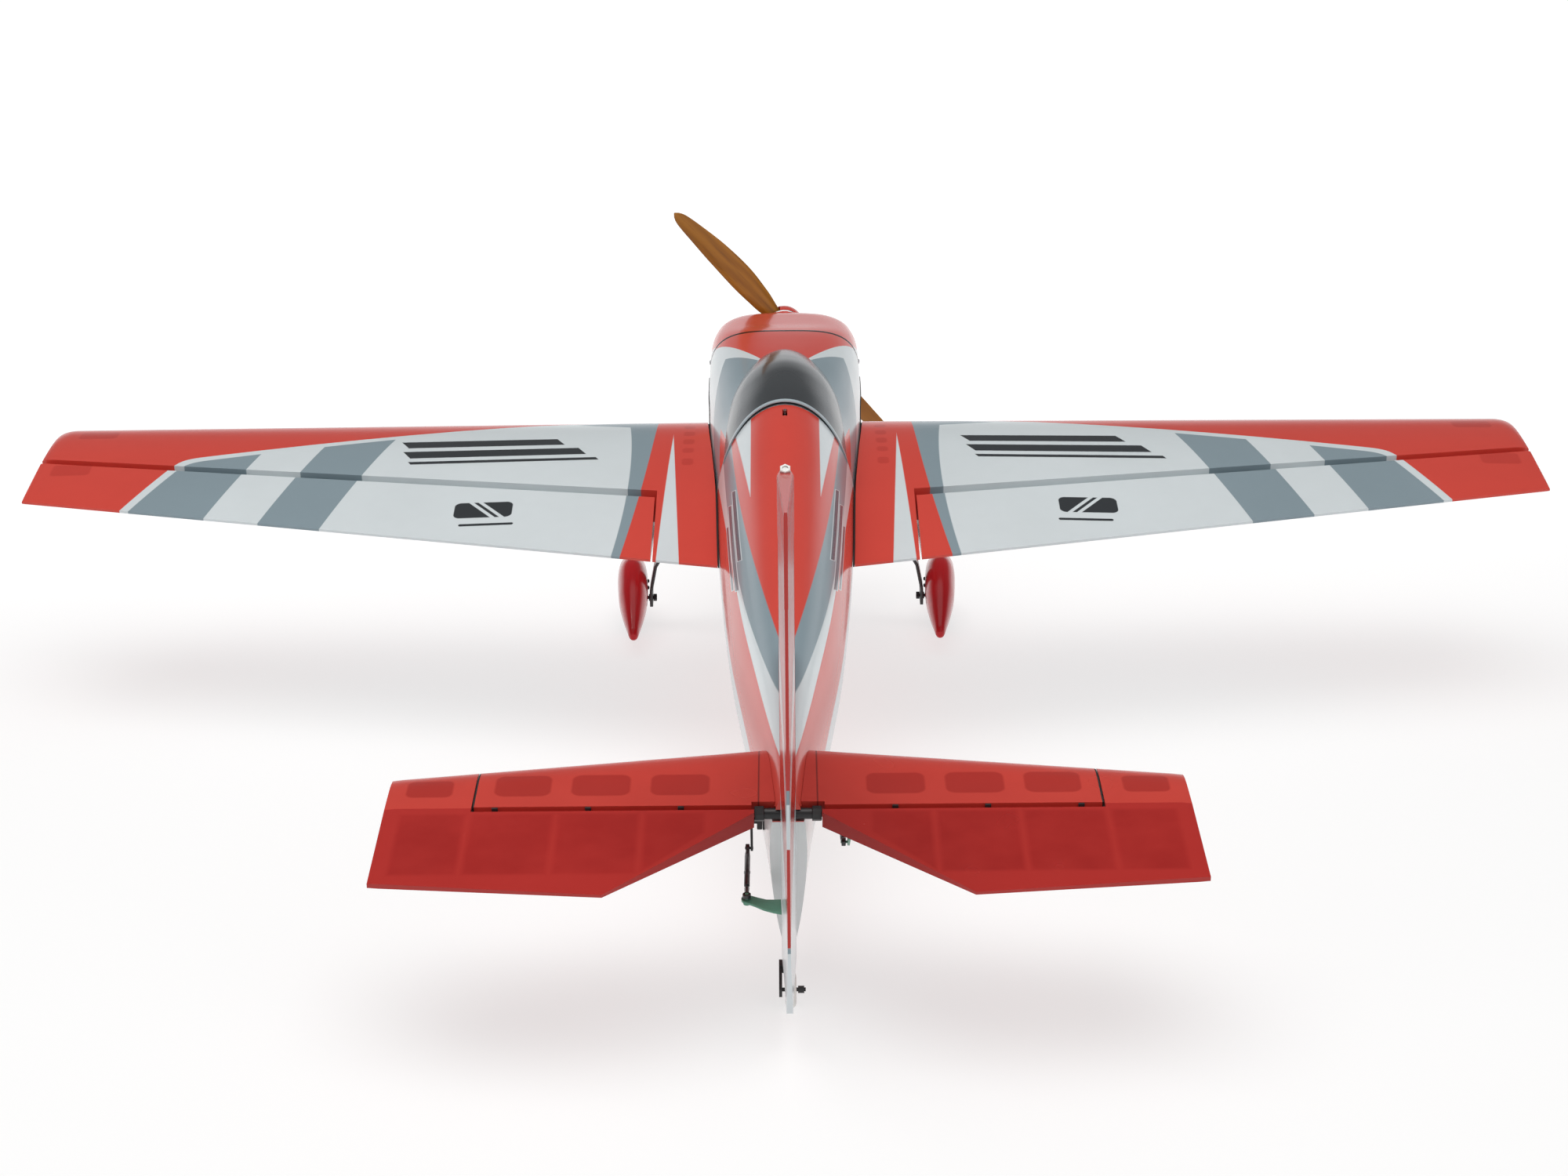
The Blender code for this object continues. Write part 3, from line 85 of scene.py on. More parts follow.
# Shell stations from nose to tail: y, half width, top, bottom, widest line, top and bottom fullness.
SHELL = (
    (-0.2380, 0.0530, 0.0420, -0.040, 0.012, 2.8, 2.2),
    (-0.2220, 0.0720, 0.0470, -0.066, 0.006, 3.8, 2.4),
    (-0.1950, 0.0810, 0.0520, -0.082, 0.002, 4.2, 2.7),
    (-0.1500, 0.0855, 0.0600, -0.090, 0.000, 4.2, 3.0),
    (-0.1000, 0.0860, 0.0695, -0.092, 0.000, 3.6, 3.2),
    (-0.0500, 0.0857, 0.0750, -0.101, 0.000, 3.2, 3.2),
    (0.0000, 0.0840, 0.0795, -0.107, 0.000, 2.9, 3.2),
    (0.0800, 0.0818, 0.0850, -0.110, 0.000, 2.6, 3.0),
    (0.1600, 0.0770, 0.0960, -0.110, 0.000, 2.2, 2.8),
    (0.2400, 0.0720, 0.1140, -0.108, -0.004, 1.95, 2.6),
    (0.3900, 0.0655, 0.1045, -0.105, -0.004, 1.95, 2.3),
    (0.5900, 0.0525, 0.0900, -0.100, -0.002, 1.95, 2.0),
    (0.7500, 0.0350, 0.0780, -0.095, 0.000, 1.95, 1.8),
    (0.8600, 0.0225, 0.0700, -0.091, 0.005, 1.95, 1.6),
    (0.9450, 0.0150, 0.0640, -0.087, 0.010, 1.95, 1.5),
)
# Canopy stations: y, half width, foot, top.
BUBBLE = (
    (-0.014, 0.012, 0.062, 0.0795), (0.01, 0.0325, 0.058, 0.088), (0.04, 0.0455, 0.052, 0.0965),
    (0.08, 0.056, 0.044, 0.1065), (0.122, 0.0635, 0.034, 0.115), (0.155, 0.0662, 0.026, 0.1185),
    (0.2, 0.0688, 0.014, 0.12), (0.2397, 0.0695, 0.006, 0.118),
)


# ---------------------------------------------------------------- camera, lights, floor
# Camera: place, turn in degrees, focal length and sensor width in millimetres.
CAMERA_PLACE, CAMERA_TURN, LENS, SENSOR = (-0.0005, 2.4933, 0.9546), (72.964, 0.481, 179.917), 61.1757, 36.0
# Studio surroundings: sine of the elevation and brightness. Pale walls, a darker band above them
# that keeps the gloss from washing the reds out, and a bright ceiling.
SKY = ((0.0, 0.66), (0.12, 0.6), (0.34, 0.12), (0.84, 0.1), (0.94, 0.8))
SKY_TINT, SKY_STRENGTH = (0.965, 0.98, 1.0), 1.35
# Lamps: name, place, aim, size and power.
LAMP_TINT = (1.0, 0.985, 0.96)
LAMPS = (
    ("key_light", (0.3, 0.7, 3.3), (0.0, 0.1, 0.1), (4.2, 2.4), 80.0),
    ("fill_light", (-2.8, 2.2, 2.6), (0.0, 0.0, 0.1), (2.2, 2.2), 16.0),
    ("side_light", (2.8, 2.0, 2.4), (0.0, 0.0, 0.1), (2.2, 2.2), 14.0),
)
FLOOR_HALF, FLOOR_DROP, FLOOR_COLOUR = 30.0, 0.0004, (0.32, 0.32, 0.32)
FLOOR_GLOW, FAR_GLOW = 0.66, 0.26


def add(name, data):
    obj = bpy.data.objects.new(name, data)
    bpy.context.scene.collection.objects.link(obj)
    return obj


def camera():
    eye = add("camera", bpy.data.cameras.new("camera"))
    eye.location = CAMERA_PLACE
    eye.rotation_euler = [math.radians(a) for a in CAMERA_TURN]
    eye.data.lens, eye.data.sensor_width, eye.data.clip_end = LENS, SENSOR, 200.0
    bpy.context.scene.camera = eye
    bpy.context.scene.view_settings.view_transform = 'Standard'


def sky():
    world = bpy.data.worlds.new("studio")
    bpy.context.scene.world = world
    world.use_nodes = True
    tree = world.node_tree
    background = tree.nodes["Background"]
    split = tree.nodes.new("ShaderNodeSeparateXYZ")
    tree.links.new(tree.nodes.new("ShaderNodeTexCoord").outputs["Generated"], split.inputs[0])
    ramp = tree.nodes.new("ShaderNodeValToRGB")
    tree.links.new(split.outputs[2], ramp.inputs[0])
    bands = ramp.color_ramp.elements
    bands[0].position, bands[1].position = SKY[0][0], SKY[-1][0]
    for place, _ in SKY[1:-1]:
        bands.new(place)
    for band, (_, level) in zip(bands, SKY):
        band.color = (*(tint * level for tint in SKY_TINT), 1.0)
    tree.links.new(ramp.outputs[0], background.inputs["Color"])
    background.inputs["Strength"].default_value = SKY_STRENGTH


def lamps():
    for name, place, aim, wide, power in LAMPS:
        lamp = bpy.data.lights.new(name, 'AREA')
        lamp.shape, lamp.size, lamp.size_y, lamp.energy = 'RECTANGLE', wide[0], wide[1], power
        lamp.color = LAMP_TINT
        obj = add(name, lamp)
        obj.location = place
        obj.rotation_euler = (Vector(aim) - Vector(place)).to_track_quat('-Z', 'Y').to_euler()


def floor():
    mesh = bpy.data.meshes.new("floor")
    mesh.from_pydata([(a * FLOOR_HALF, b * FLOOR_HALF, 0) for a, b in ((-1, -1), (1, -1), (1, 1), (-1, 1))],
                     [], [(0, 1, 2, 3)])
    sheet = add("floor", mesh)
    sheet.location.z = -FLOOR_DROP
    look = Look("studio_floor", roughness=0.8, specular=0.1)
    paper = look.noise(3.0, 2)
    look.finish(look.shade(FLOOR_COLOUR, (paper - 0.5) * 0.012 + 1.0))
    # Painted light: the paper glows brighter away from the model, as under a backdrop lamp.
    glow = (look.y * -0.55 - 0.1).clamped() * FAR_GLOW + FLOOR_GLOW
    look.shader.inputs["Emission Color"].default_value = (1.0, 1.0, 1.0, 1.0)
    look.join(glow.socket, look.shader.inputs["Emission Strength"])
    mesh.materials.append(look.material)


# ---------------------------------------------------------------- material helpers
class Num:
    """A number in a material's node tree; arithmetic on it adds Math nodes."""

    def __init__(self, tree, socket):
        self.tree, self.socket = tree, socket

    def math(self, operation, *others, clamp=False):
        node = self.tree.nodes.new("ShaderNodeMath")
        node.operation, node.use_clamp = operation, clamp
        for slot, value in zip(node.inputs, (self,) + others):
            if isinstance(value, Num):
                self.tree.links.new(value.socket, slot)
            else:
                slot.default_value = value
        return Num(self.tree, node.outputs[0])

    def __add__(self, other):
        return self.math("ADD", other)

    def __sub__(self, other):
        return self.math("SUBTRACT", other)

    def __mul__(self, other):
        return self.math("MULTIPLY", other)

    def __rsub__(self, other):
        return self.math("MULTIPLY_ADD", -1.0, other)

    def __neg__(self):
        return self * -1.0

    def clamped(self):
        return self.math("MULTIPLY_ADD", 1.0, 0.0, clamp=True)

    def both(self, *others):
        """Inside this and every other signed distance."""
        result = self
        for other in others:
            result = result.math("MINIMUM", other)
        return result

    def either(self, *others):
        """Inside this or any other signed distance."""
        result = self
        for other in others:
            result = result.math("MAXIMUM", other)
        return result

    def near(self, centre, half):
        """Positive where the number is within `half` of `centre`."""
        return half - (self - centre).math("ABSOLUTE")

    def poly(self, origin, *terms):
        """Polynomial in (number - origin), constant term first."""
        run = self - origin
        result = terms[-1]
        for term in terms[-2::-1]:
            result = run * result + term
        return result

    def mask(self, soft=0.0004):
        """0 to 1 across a signed distance's zero line."""
        return self.math("MULTIPLY_ADD", 0.5 / soft, 0.5, clamp=True)


class Look:
    """A Principled material whose colour and relief come from aircraft-axis coordinates."""

    def __init__(self, name, roughness=0.3, metallic=0.0, coat=0.0, specular=0.5, coat_roughness=0.05):
        self.material = bpy.data.materials.new(name)
        self.material.use_nodes = True
        self.tree = self.material.node_tree
        self.shader = self.tree.nodes["Principled BSDF"]
        for socket, value in (("Roughness", roughness), ("Metallic", metallic), ("Coat Weight", coat),
                              ("Coat Roughness", coat_roughness), ("Specular IOR Level", specular)):
            self.shader.inputs[socket].default_value = value
        self.roughness = roughness
        self.join = self.tree.links.new
        self.coords = self.tree.nodes.new("ShaderNodeTexCoord").outputs["Object"]
        split = self.tree.nodes.new("ShaderNodeSeparateXYZ")
        self.join(self.coords, split.inputs[0])
        self.x, self.y, self.z = (Num(self.tree, out) for out in split.outputs)
        self.ax = self.x.math("ABSOLUTE")

    def noise(self, scale, detail=2.0, stretch=None, coords=None):
        node = self.tree.nodes.new("ShaderNodeTexNoise")
        node.inputs["Scale"].default_value = scale
        node.inputs["Detail"].default_value = detail
        coords = coords or self.coords
        if stretch:
            mapping = self.tree.nodes.new("ShaderNodeMapping")
            mapping.inputs["Scale"].default_value = stretch
            self.join(coords, mapping.inputs["Vector"])
            coords = mapping.outputs[0]
        self.join(coords, node.inputs["Vector"])
        return Num(self.tree, node.outputs["Fac"])

    def over(self, base, mask, colour):
        """`colour` painted over `base` where the mask is 1."""
        node = self.tree.nodes.new("ShaderNodeMix")
        node.data_type = 'RGBA'
        self.join(mask.socket, node.inputs[0])
        for slot, value in ((node.inputs[6], base), (node.inputs[7], colour)):
            if isinstance(value, tuple):
                slot.default_value = (*value, 1.0)
            else:
                self.join(value, slot)
        return node.outputs[2]

    def shade(self, colour, amount):
        """`colour` times a number."""
        node = self.tree.nodes.new("ShaderNodeVectorMath")
        node.operation = 'SCALE'
        if isinstance(colour, tuple):
            node.inputs[0].default_value = colour
        else:
            self.join(colour, node.inputs[0])
        self.join(amount.socket, node.inputs["Scale"])
        return node.outputs[0]

    def finish(self, colour, rough=None, relief=None, depth=0.0005, strength=1.0):
        """Connects the colour, a 0 to 1 number that varies the gloss, and a relief `depth` metres high."""
        self.join(colour, self.shader.inputs["Base Color"])
        if rough is not None:
            spread = rough.math("MULTIPLY_ADD", 0.25 * self.roughness, self.roughness * 0.88)
            self.join(spread.socket, self.shader.inputs["Roughness"])
        if relief is not None:
            bump = self.tree.nodes.new("ShaderNodeBump")
            bump.inputs["Distance"].default_value = depth
            bump.inputs["Strength"].default_value = strength
            self.join(relief.socket, bump.inputs["Height"])
            self.join(bump.outputs[0], self.shader.inputs["Normal"])
        return self.material


# ---------------------------------------------------------------- covering film and paint
RED, TAIL_RED, DEEP_RED = (0.6, 0.06, 0.042), (0.44, 0.026, 0.02), (0.3, 0.009, 0.007)
WHITE, GREY, DARK = (0.62, 0.67, 0.69), (0.225, 0.29, 0.325), (0.03, 0.034, 0.038)
# Painted shade: the first colour is a dark red for the shade at the cowl's rear edge, the hatch's front
# edge and the stabiliser roots.
GAP_SHADE, PANT_RED = (0.06, 0.01, 0.01), (0.52, 0.012, 0.018)
TRIM_GREY, CANOPY_TRIM = (0.45, 0.5, 0.53), (0.36, 0.42, 0.45)
# The first is a brighter white: painted light on the shaded aft hull.
AFT_PAINTED_LIGHT_WHITE, LETTER_DARK = (0.8, 0.83, 0.83), (0.075, 0.08, 0.105)
# The last two are the widths of the painted shade along the hatch's front edge and the cowl's rear edge.
HATCH_RIM_Y, HATCH_EDGE_SHADE, COWL_EDGE_SHADE = 0.2345, 0.0024, 0.0022


def film(name, paint, gloss=0.24, wrinkle=0.22):
    """Iron-on covering: painted scheme, slight colour drift, soft wrinkles and a clear gloss."""
    look = Look(name, roughness=gloss, coat=0.25, coat_roughness=0.06, specular=0.28)
    colour = paint(look)
    drift = look.noise(7.0, 3.0) * 0.1 + look.noise(60.0, 2.0) * 0.03 + 0.935
    creases = look.noise(26.0, 2.0, (1.0, 0.45, 1.0)) + look.noise(140.0, 2.0) * 0.12
    return look.finish(look.shade(colour, drift), look.noise(18.0, 2.0), creases, 0.0012, wrinkle)


def plain_red(look, colour=RED):
    return look.over(colour, look.noise(11.0, 3.0) * 0.35, DEEP_RED)


def rounded(look, cx, cy, half_x, half_y, corner):
    """Signed distance into a rounded patch centred at |x| = cx, y = cy."""
    dx = ((look.ax - cx).math("ABSOLUTE") - (half_x - corner)).math("MAXIMUM", 0.0)
    dy = ((look.y - cy).math("ABSOLUTE") - (half_y - corner)).math("MAXIMUM", 0.0)
    return corner - (dx * dx + dy * dy).math("SQRT")


def wing_paint(look):
    ax, y = look.ax, look.y
    leading = (ax * 0.222 - y - 0.00998) * 0.976
    outer = (ax - y * 0.434 - 0.58873) * 0.917
    edge = leading.math("SMOOTH_MAX", outer, 0.022)
    slant = ax - y * 0.28
    blocks = (slant - 0.528).either(slant.near(0.431, 0.035))
    root_out = ax - y.poly(0.2325, 0.164, 0.0345, 0.384)
    wedge = (0.1056 - ax * 0.24 - y).both(0.3 - ax)
    grey = blocks.either(-root_out, wedge).both(-edge - 0.0095)
    root = y.poly(0.2325, 0.15, 0.0964, 0.198) - ax
    red = edge.either(root)
    flash = (ax - y.poly(0.1005, 0.1205, -0.051)).both(y.poly(0.1005, 0.1205, 0.0334) - ax)

    # Generic trim: three slanted bars on the fixed panel and a plain rounded badge on the aileron.
    lean = ax + (y * 0.55 - 0.085) * look.x.math("SIGN")
    bars = [y.near(at, half).both(lean.near(0.3015, long))
            for at, half, long in ((0.111, 0.0085, 0.084), (0.1375, 0.0085, 0.094),
                                   (0.1575, 0.0032, 0.1))]
    badge = rounded(look, 0.311, 0.264, 0.03, 0.015, 0.007)
    slash = (ax + y * 0.8 - 0.5236).near(0.0, 0.0025).either((ax + y * 0.8 - 0.514).near(0.0, 0.0025))
    badge = badge.both(-slash).either(rounded(look, 0.306, 0.2925, 0.028, 0.0022, 0.002))

    colour = look.over(WHITE, grey.mask(), GREY)
    colour = look.over(colour, bars[0].either(*bars[1:]).mask(), DARK)
    colour = look.over(colour, badge.mask(), DARK)
    colour = look.over(colour, red.mask(), RED)
    colour = look.over(colour, flash.both(root).mask(), WHITE)
    # Open structure shows as slightly darker bays under the red film.
    bays = rounded(look, 0.752, 0.06, 0.021, 0.011, 0.005)
    bays = bays.either(rounded(look, 0.762, 0.15, 0.021, 0.012, 0.005))
    for at, half in ((0.07, 0.0064), (0.094, 0.0072), (0.119, 0.0072), (0.143, 0.0064), (0.172, 0.008)):
        bays = bays.either(rounded(look, 0.1035, at, 0.006, half, 0.004))
    return look.over(colour, bays.mask(0.0012) * (red.mask() * 0.3), DEEP_RED)


def tail_paint(look):
    """Red film over an open frame: rounded lightening holes ahead, open bays and ribs behind."""
    ax, y = look.ax, look.y
    holes = rounded(look, 0.2125, 0.907, 0.0225, 0.0165, 0.008)
    for at in (0.15, 0.0865):
        holes = holes.either(rounded(look, at, 0.907, 0.0235, 0.0165, 0.008))
    holes = holes.either(rounded(look, 0.287, 0.911, 0.0185, 0.0135, 0.006))
    bays = (y - 0.951).both(1.034 - y)
    for at in (0.252, 0.183, 0.115):
        bays = bays.both((ax - at).math("ABSOLUTE") - 0.0026)
    bays = bays.both(0.306 - ax, ax - 0.066, (ax - 0.03) * 1.05 - (y - 0.94) * 0.95)
    mottle = look.noise(34.0, 3.0)
    colour = look.over(plain_red(look), (y - ELEV_HINGE_Y).mask(), plain_red(look, TAIL_RED))
    # Painted shade: a dark line where each stabiliser half meets the fuselage.
    root = ax.near(0.0235, 0.0006).both(ELEV_HINGE_Y - y)
    colour = look.over(colour, root.mask() * 0.7, GAP_SHADE)
    colour = look.over(colour, holes.mask(0.001) * 0.55, DEEP_RED)
    return look.over(colour, bays.mask(0.0022) * (mottle * 0.9 + 0.05), DEEP_RED)


def hull_paint(look):
    """White ground with red deck, grey and red bands that run to a point at the fin."""
    ax, y, z = look.ax, look.y, look.z
    deck = (y.poly(0.31, 0.0512, -0.0638, -0.1251) - ax).both(z - 0.03)
    grey = z - y.poly(0.589, 0.059, 0.05387, 0.0759)
    white = z - y.poly(0.5856, 0.0515, 0.0238, -0.0404, 0.365)
    rise = y.poly(0.6, 0.006, 0.01) + (y - 0.852).math("MAXIMUM", 0.0) * 0.9
    belly = rise.math("MINIMUM", STAB_Z - 0.006) - z
    side_red = (-white).both(-belly)
    wedge = ((ax - y.poly(0.41, 0.034, -0.005)).both(y.poly(0.41, 0.034, -0.098) - ax, 0.41 - y)
             .both(z - 0.06))
    aft = y - HATCH_REAR_Y
    # Ahead of the deck: white sides, a grey sweep and a red belly.
    sweep = y.poly(0.24, -0.012, 0.05, -0.4) - z
    under = y.poly(0.24, -0.05, 0.1, -0.2) - z
    # Generic slanted bars on the upper flanks where the real one carries its lettering.
    lean = y - (z - 0.05) * 1.6
    level = z - y.poly(0.45, 0.052, -0.03)
    bars = [level.near(at, half).both(lean.near(middle, long))
            for at, half, middle, long in ((0.0115, 0.003, 0.405, 0.08), (0.002, 0.0032, 0.45, 0.095),
                                           (-0.007, 0.0022, 0.47, 0.07))]
    bars = bars[0].either(*bars[1:])

    # Painted light: the aft hull turns a brighter white, lifting the shade it sits in.
    colour = look.over(WHITE, (y - 0.86).mask(0.03), AFT_PAINTED_LIGHT_WHITE)
    colour = look.over(colour, sweep.mask(), GREY)
    colour = look.over(colour, under.mask(), RED)
    colour = look.over(colour, aft.both(-belly).mask(), WHITE)
    colour = look.over(colour, side_red.both(aft).mask(), RED)
    colour = look.over(colour, grey.both(aft).mask(), GREY)
    colour = look.over(colour, (bars + 0.0012).mask(), WHITE)
    colour = look.over(colour, bars.mask(), LETTER_DARK)
    colour = look.over(colour, deck.both(aft).mask(), RED)
    return look.over(colour, wedge.both(aft).mask(), WHITE)


def hatch_paint(look):
    ax, y, z = look.ax, look.y, look.z
    top = y.poly(-0.095, 0.078, -0.466) - ax
    grey = (ax - y.poly(-0.026, 0.065, -0.775)).both(z - y.poly(0.0, 0.0573, -0.21))
    cone = (z - y.poly(0.15, 0.051, -0.188)).both(y.poly(0.15, 0.051, 0.176) - z)
    colour = look.over(WHITE, grey.mask(), GREY)
    colour = look.over(colour, cone.mask(), RED)
    colour = look.over(colour, top.mask(), RED)
    colour = look.over(colour, (y - HATCH_RIM_Y).mask(), TRIM_GREY)
    # Painted shade along the hatch's front edge, where it meets the cowl.
    return look.over(colour, (SKIN_FRONT_Y + HATCH_EDGE_SHADE - y).mask(), GAP_SHADE)


def cowl_paint(look):
    y, z = look.y, look.z
    corner = (y.poly(-0.1, 0.0515, 0.62) - z).both(z - y.poly(-0.1, -0.03, -0.9))
    # Painted shade along the cowl's rear edge, where it meets the hatch.
    return look.over(look.over(RED, corner.mask(), WHITE), (y - (COWL_REAR_Y - COWL_EDGE_SHADE)).mask(), GAP_SHADE)


def rudder_paint(look):
    y, z = look.y, look.z
    rise = z + (y - 1.08) * 0.55
    colour = look.over(WHITE, (rise - 0.1326).mask(), GREY)
    colour = look.over(colour, (rise - 0.1445).mask(), TAIL_RED)
    colour = look.over(colour, rise.near(0.0513, 0.0432).mask(), TAIL_RED)
    return look.over(colour, rise.near(0.00565, 0.00245).mask(), GREY)


def paint_look(name, paint):
    """Sprayed glass-fibre moulding: hard gloss with fine orange peel."""
    look = Look(name, roughness=0.18, coat=0.22, coat_roughness=0.04, specular=0.22)
    drift = look.noise(6.0, 2.0) * 0.05 + 0.975
    peel = look.noise(420.0, 1.0) + look.noise(30.0, 1.0) * 0.8
    return look.finish(look.shade(paint(look), drift), look.noise(30.0, 2.0), peel, 0.00012, 0.35)


def smoke_canopy(name):
    """Tinted moulding, darker toward its crown, with a pale rim at the rear; the lighter lower sides are a
    painted reflection.
    """
    look = Look(name, roughness=0.16, specular=0.16)
    # Painted reflection: the lower sides are lighter than the crown.
    colour = look.over((0.135, 0.15, 0.16), ((look.z - 0.06) * 18.0).clamped(), (0.048, 0.052, 0.056))
    colour = look.over(colour, (look.y - HATCH_RIM_Y).mask(), CANOPY_TRIM)
    drift = look.noise(8.0, 2.0) * 0.12 + 0.94
    return look.finish(look.shade(colour, drift), look.noise(40.0, 2.0), look.noise(9.0, 1.0), 0.002,
                       0.05)


# ---------------------------------------------------------------- other materials
def tone(name, colour, dark, roughness, metallic=0.0, grain=90.0, relief=0.1, stretch=None):
    """Moulded or machined stuff: two tones, uneven gloss, fine surface grain."""
    look = Look(name, roughness=roughness, metallic=metallic)
    mixed = look.over(colour, look.noise(grain * 0.35, 3.0, stretch), dark)
    return look.finish(mixed, look.noise(grain, 2.0, stretch), look.noise(grain * 6.0, 3.0, stretch),
                       0.0003, relief)


def plywood(name):
    """Pale sheet with fore-and-aft grain and dark pores."""
    look = Look(name, roughness=0.32)
    along = (1.0, 0.05, 1.0)
    grain = look.noise(60.0, 5.0, along)
    fine = look.noise(360.0, 4.0, along)
    colour = look.over((0.6, 0.42, 0.23), ((grain - 0.35) * 2.2).clamped(), (0.44, 0.28, 0.13))
    colour = look.over(colour, ((fine - 0.6) * 4.0).math("MULTIPLY_ADD", 0.6, 0.0, clamp=True),
                       (0.198, 0.126, 0.0585))
    return look.finish(colour, grain, fine, 0.0002, 0.25)


def prop_wood(name):
    """Amber varnish over thin glued layers that follow the blade."""
    look = Look(name, roughness=0.3, coat=0.2, coat_roughness=0.12, specular=0.3)
    c, s = math.cos(PROP_ANGLE), math.sin(PROP_ANGLE)
    across = look.x * c - look.z * s
    along = look.x * s + look.z * c
    warp = look.noise(14.0, 2.0)
    layers = ((look.y * 900.0 + across * 160.0 + warp * 5.0).math("SINE") + 1.0) * 0.5
    blade = look.tree.nodes.new("ShaderNodeCombineXYZ")
    for slot, value in zip(blade.inputs, (across * 30.0, look.y * 40.0, along * 1.6)):
        look.join(value.socket, slot)
    streak = look.noise(12.0, 4.0, coords=blade.outputs[0])
    colour = look.over((0.34, 0.135, 0.012), layers * 0.55, (0.21, 0.074, 0.006))
    colour = look.over(colour, ((streak - 0.5) * 2.6).clamped(), (0.17, 0.06, 0.009))
    return look.finish(colour, warp, streak, 0.0002, 0.2)


def carbon(name):
    """Twill of black tows under satin resin."""
    look = Look(name, roughness=0.34, coat=0.35, coat_roughness=0.18)
    tows = 780.0
    weave = (((look.x + look.z) * tows).math("SINE") * ((look.y - look.z) * tows).math("SINE")).mask(0.35)
    colour = look.over((0.014, 0.014, 0.015), weave, (0.034, 0.034, 0.036))
    return look.finish(colour, look.noise(50.0, 2.0), weave, 0.0001, 0.3)


def rubber(name):
    look = Look(name, roughness=0.72, specular=0.35)
    dust = look.noise(80.0, 4.0)
    colour = look.over((0.014, 0.014, 0.014), dust * 0.7, (0.045, 0.043, 0.04))
    return look.finish(colour, dust, look.noise(700.0, 2.0), 0.0003, 0.5)


def shrink_wrap(name):
    """Blue heat-shrink on a battery, tight at the ends, with a pale blank label."""
    look = Look(name, roughness=0.3, coat=0.3)
    label = look.y.near(-0.406, 0.026).both(look.z - 0.33)
    creases = look.noise(60.0, 2.0, (1.0, 0.3, 1.0))
    colour = look.over((0.03, 0.08, 0.28), creases * 0.6, (0.015, 0.045, 0.17))
    colour = look.over(colour, label.mask(0.0005), (0.55, 0.57, 0.6))
    return look.finish(colour, creases, creases, 0.0006, 0.4)


LOOKS = {}
MAKERS = {
    "hull_film": lambda n: film(n, hull_paint),
    "hatch_film": lambda n: film(n, hatch_paint),
    "wing_film": lambda n: film(n, wing_paint),
    "tail_film": lambda n: film(n, tail_paint, 0.26, 0.28),
    "fin_film": lambda n: film(n, plain_red),
    "rudder_film": lambda n: film(n, rudder_paint),
    "cowl_paint": lambda n: paint_look(n, cowl_paint),
    "pant_paint": lambda n: paint_look(n, lambda look: plain_red(look, PANT_RED)),
    "smoke_canopy": smoke_canopy,
    "prop_wood": prop_wood,
    "carbon_twill": carbon,
    "tyre_rubber": rubber,
    "battery_wrap": shrink_wrap,
    "plywood": plywood,
}
# Plain stuff: two tones, roughness, metallic, grain and relief as in tone().
STUFF = {
    "black_nylon": ((0.022, 0.022, 0.023), (0.012, 0.012, 0.013), 0.42),
    "black_case": ((0.03, 0.03, 0.032), (0.018, 0.018, 0.02), 0.5, 0.0, 60.0, 0.25),
    "white_nylon": ((0.78, 0.78, 0.75), (0.66, 0.66, 0.63), 0.38),
    "glass_epoxy": ((0.12, 0.33, 0.225), (0.085, 0.25, 0.17), 0.42, 0.0, 160.0, 0.3),
    "steel": ((0.6, 0.6, 0.62), (0.48, 0.48, 0.5), 0.26, 1.0, 200.0),
    "black_oxide": ((0.03, 0.03, 0.033), (0.016, 0.016, 0.018), 0.34, 0.6, 200.0),
    "brass": ((0.72, 0.52, 0.22), (0.55, 0.38, 0.15), 0.3, 1.0, 200.0),
    "aluminium": ((0.78, 0.79, 0.81), (0.66, 0.67, 0.7), 0.32, 1.0, 120.0, 0.1, (1.0, 0.15, 1.0)),
    # Dark stuff for the painted shade bands in the joints' gaps, and for the black battery lead.
    "lead_black_and_gap_shade": ((0.02, 0.016, 0.016), (0.01, 0.008, 0.008), 0.75),
    "copper_wire": ((0.62, 0.26, 0.12), (0.45, 0.17, 0.07), 0.32, 1.0, 300.0),
}


def look_of(kind):
    """One material per kind, made when it is first asked for."""
    if kind not in LOOKS:
        LOOKS[kind] = tone(kind, *STUFF[kind]) if kind in STUFF else MAKERS[kind](kind)
    return LOOKS[kind]


# ---------------------------------------------------------------- mesh helpers
def piece(name, points, faces, look=None):
    """Cleaned mesh in aircraft axes."""
    mesh = bpy.data.meshes.new(name)
    mesh.from_pydata([tuple(p) for p in points], [], faces)
    work = bmesh.new()
    work.from_mesh(mesh)
    bmesh.ops.remove_doubles(work, verts=work.verts, dist=1e-6)
    bmesh.ops.dissolve_degenerate(work, dist=1e-6, edges=work.edges)
    bmesh.ops.recalc_face_normals(work, faces=work.faces)
    work.to_mesh(mesh)
    work.free()
    obj = add(name, mesh)
    obj.matrix_world = PLACE
    if look:
        mesh.materials.append(look_of(look))
    return obj


def combine(target, tool, operation='DIFFERENCE'):
    """Exact Boolean; the tool is used up."""
    mod = target.modifiers.new("cut", 'BOOLEAN')
    mod.operation, mod.solver, mod.object = operation, 'EXACT', tool
    bpy.context.view_layer.update()
    graph = bpy.context.evaluated_depsgraph_get()
    mesh = bpy.data.meshes.new_from_object(target.evaluated_get(graph))
    materials = list(target.data.materials)
    target.modifiers.clear()
    target.data = mesh
    mesh.materials.clear()
    for mat in materials:
        mesh.materials.append(mat)
    mesh.polygons.foreach_set("material_index", [0] * len(mesh.polygons))
    bpy.data.objects.remove(tool)
    return target


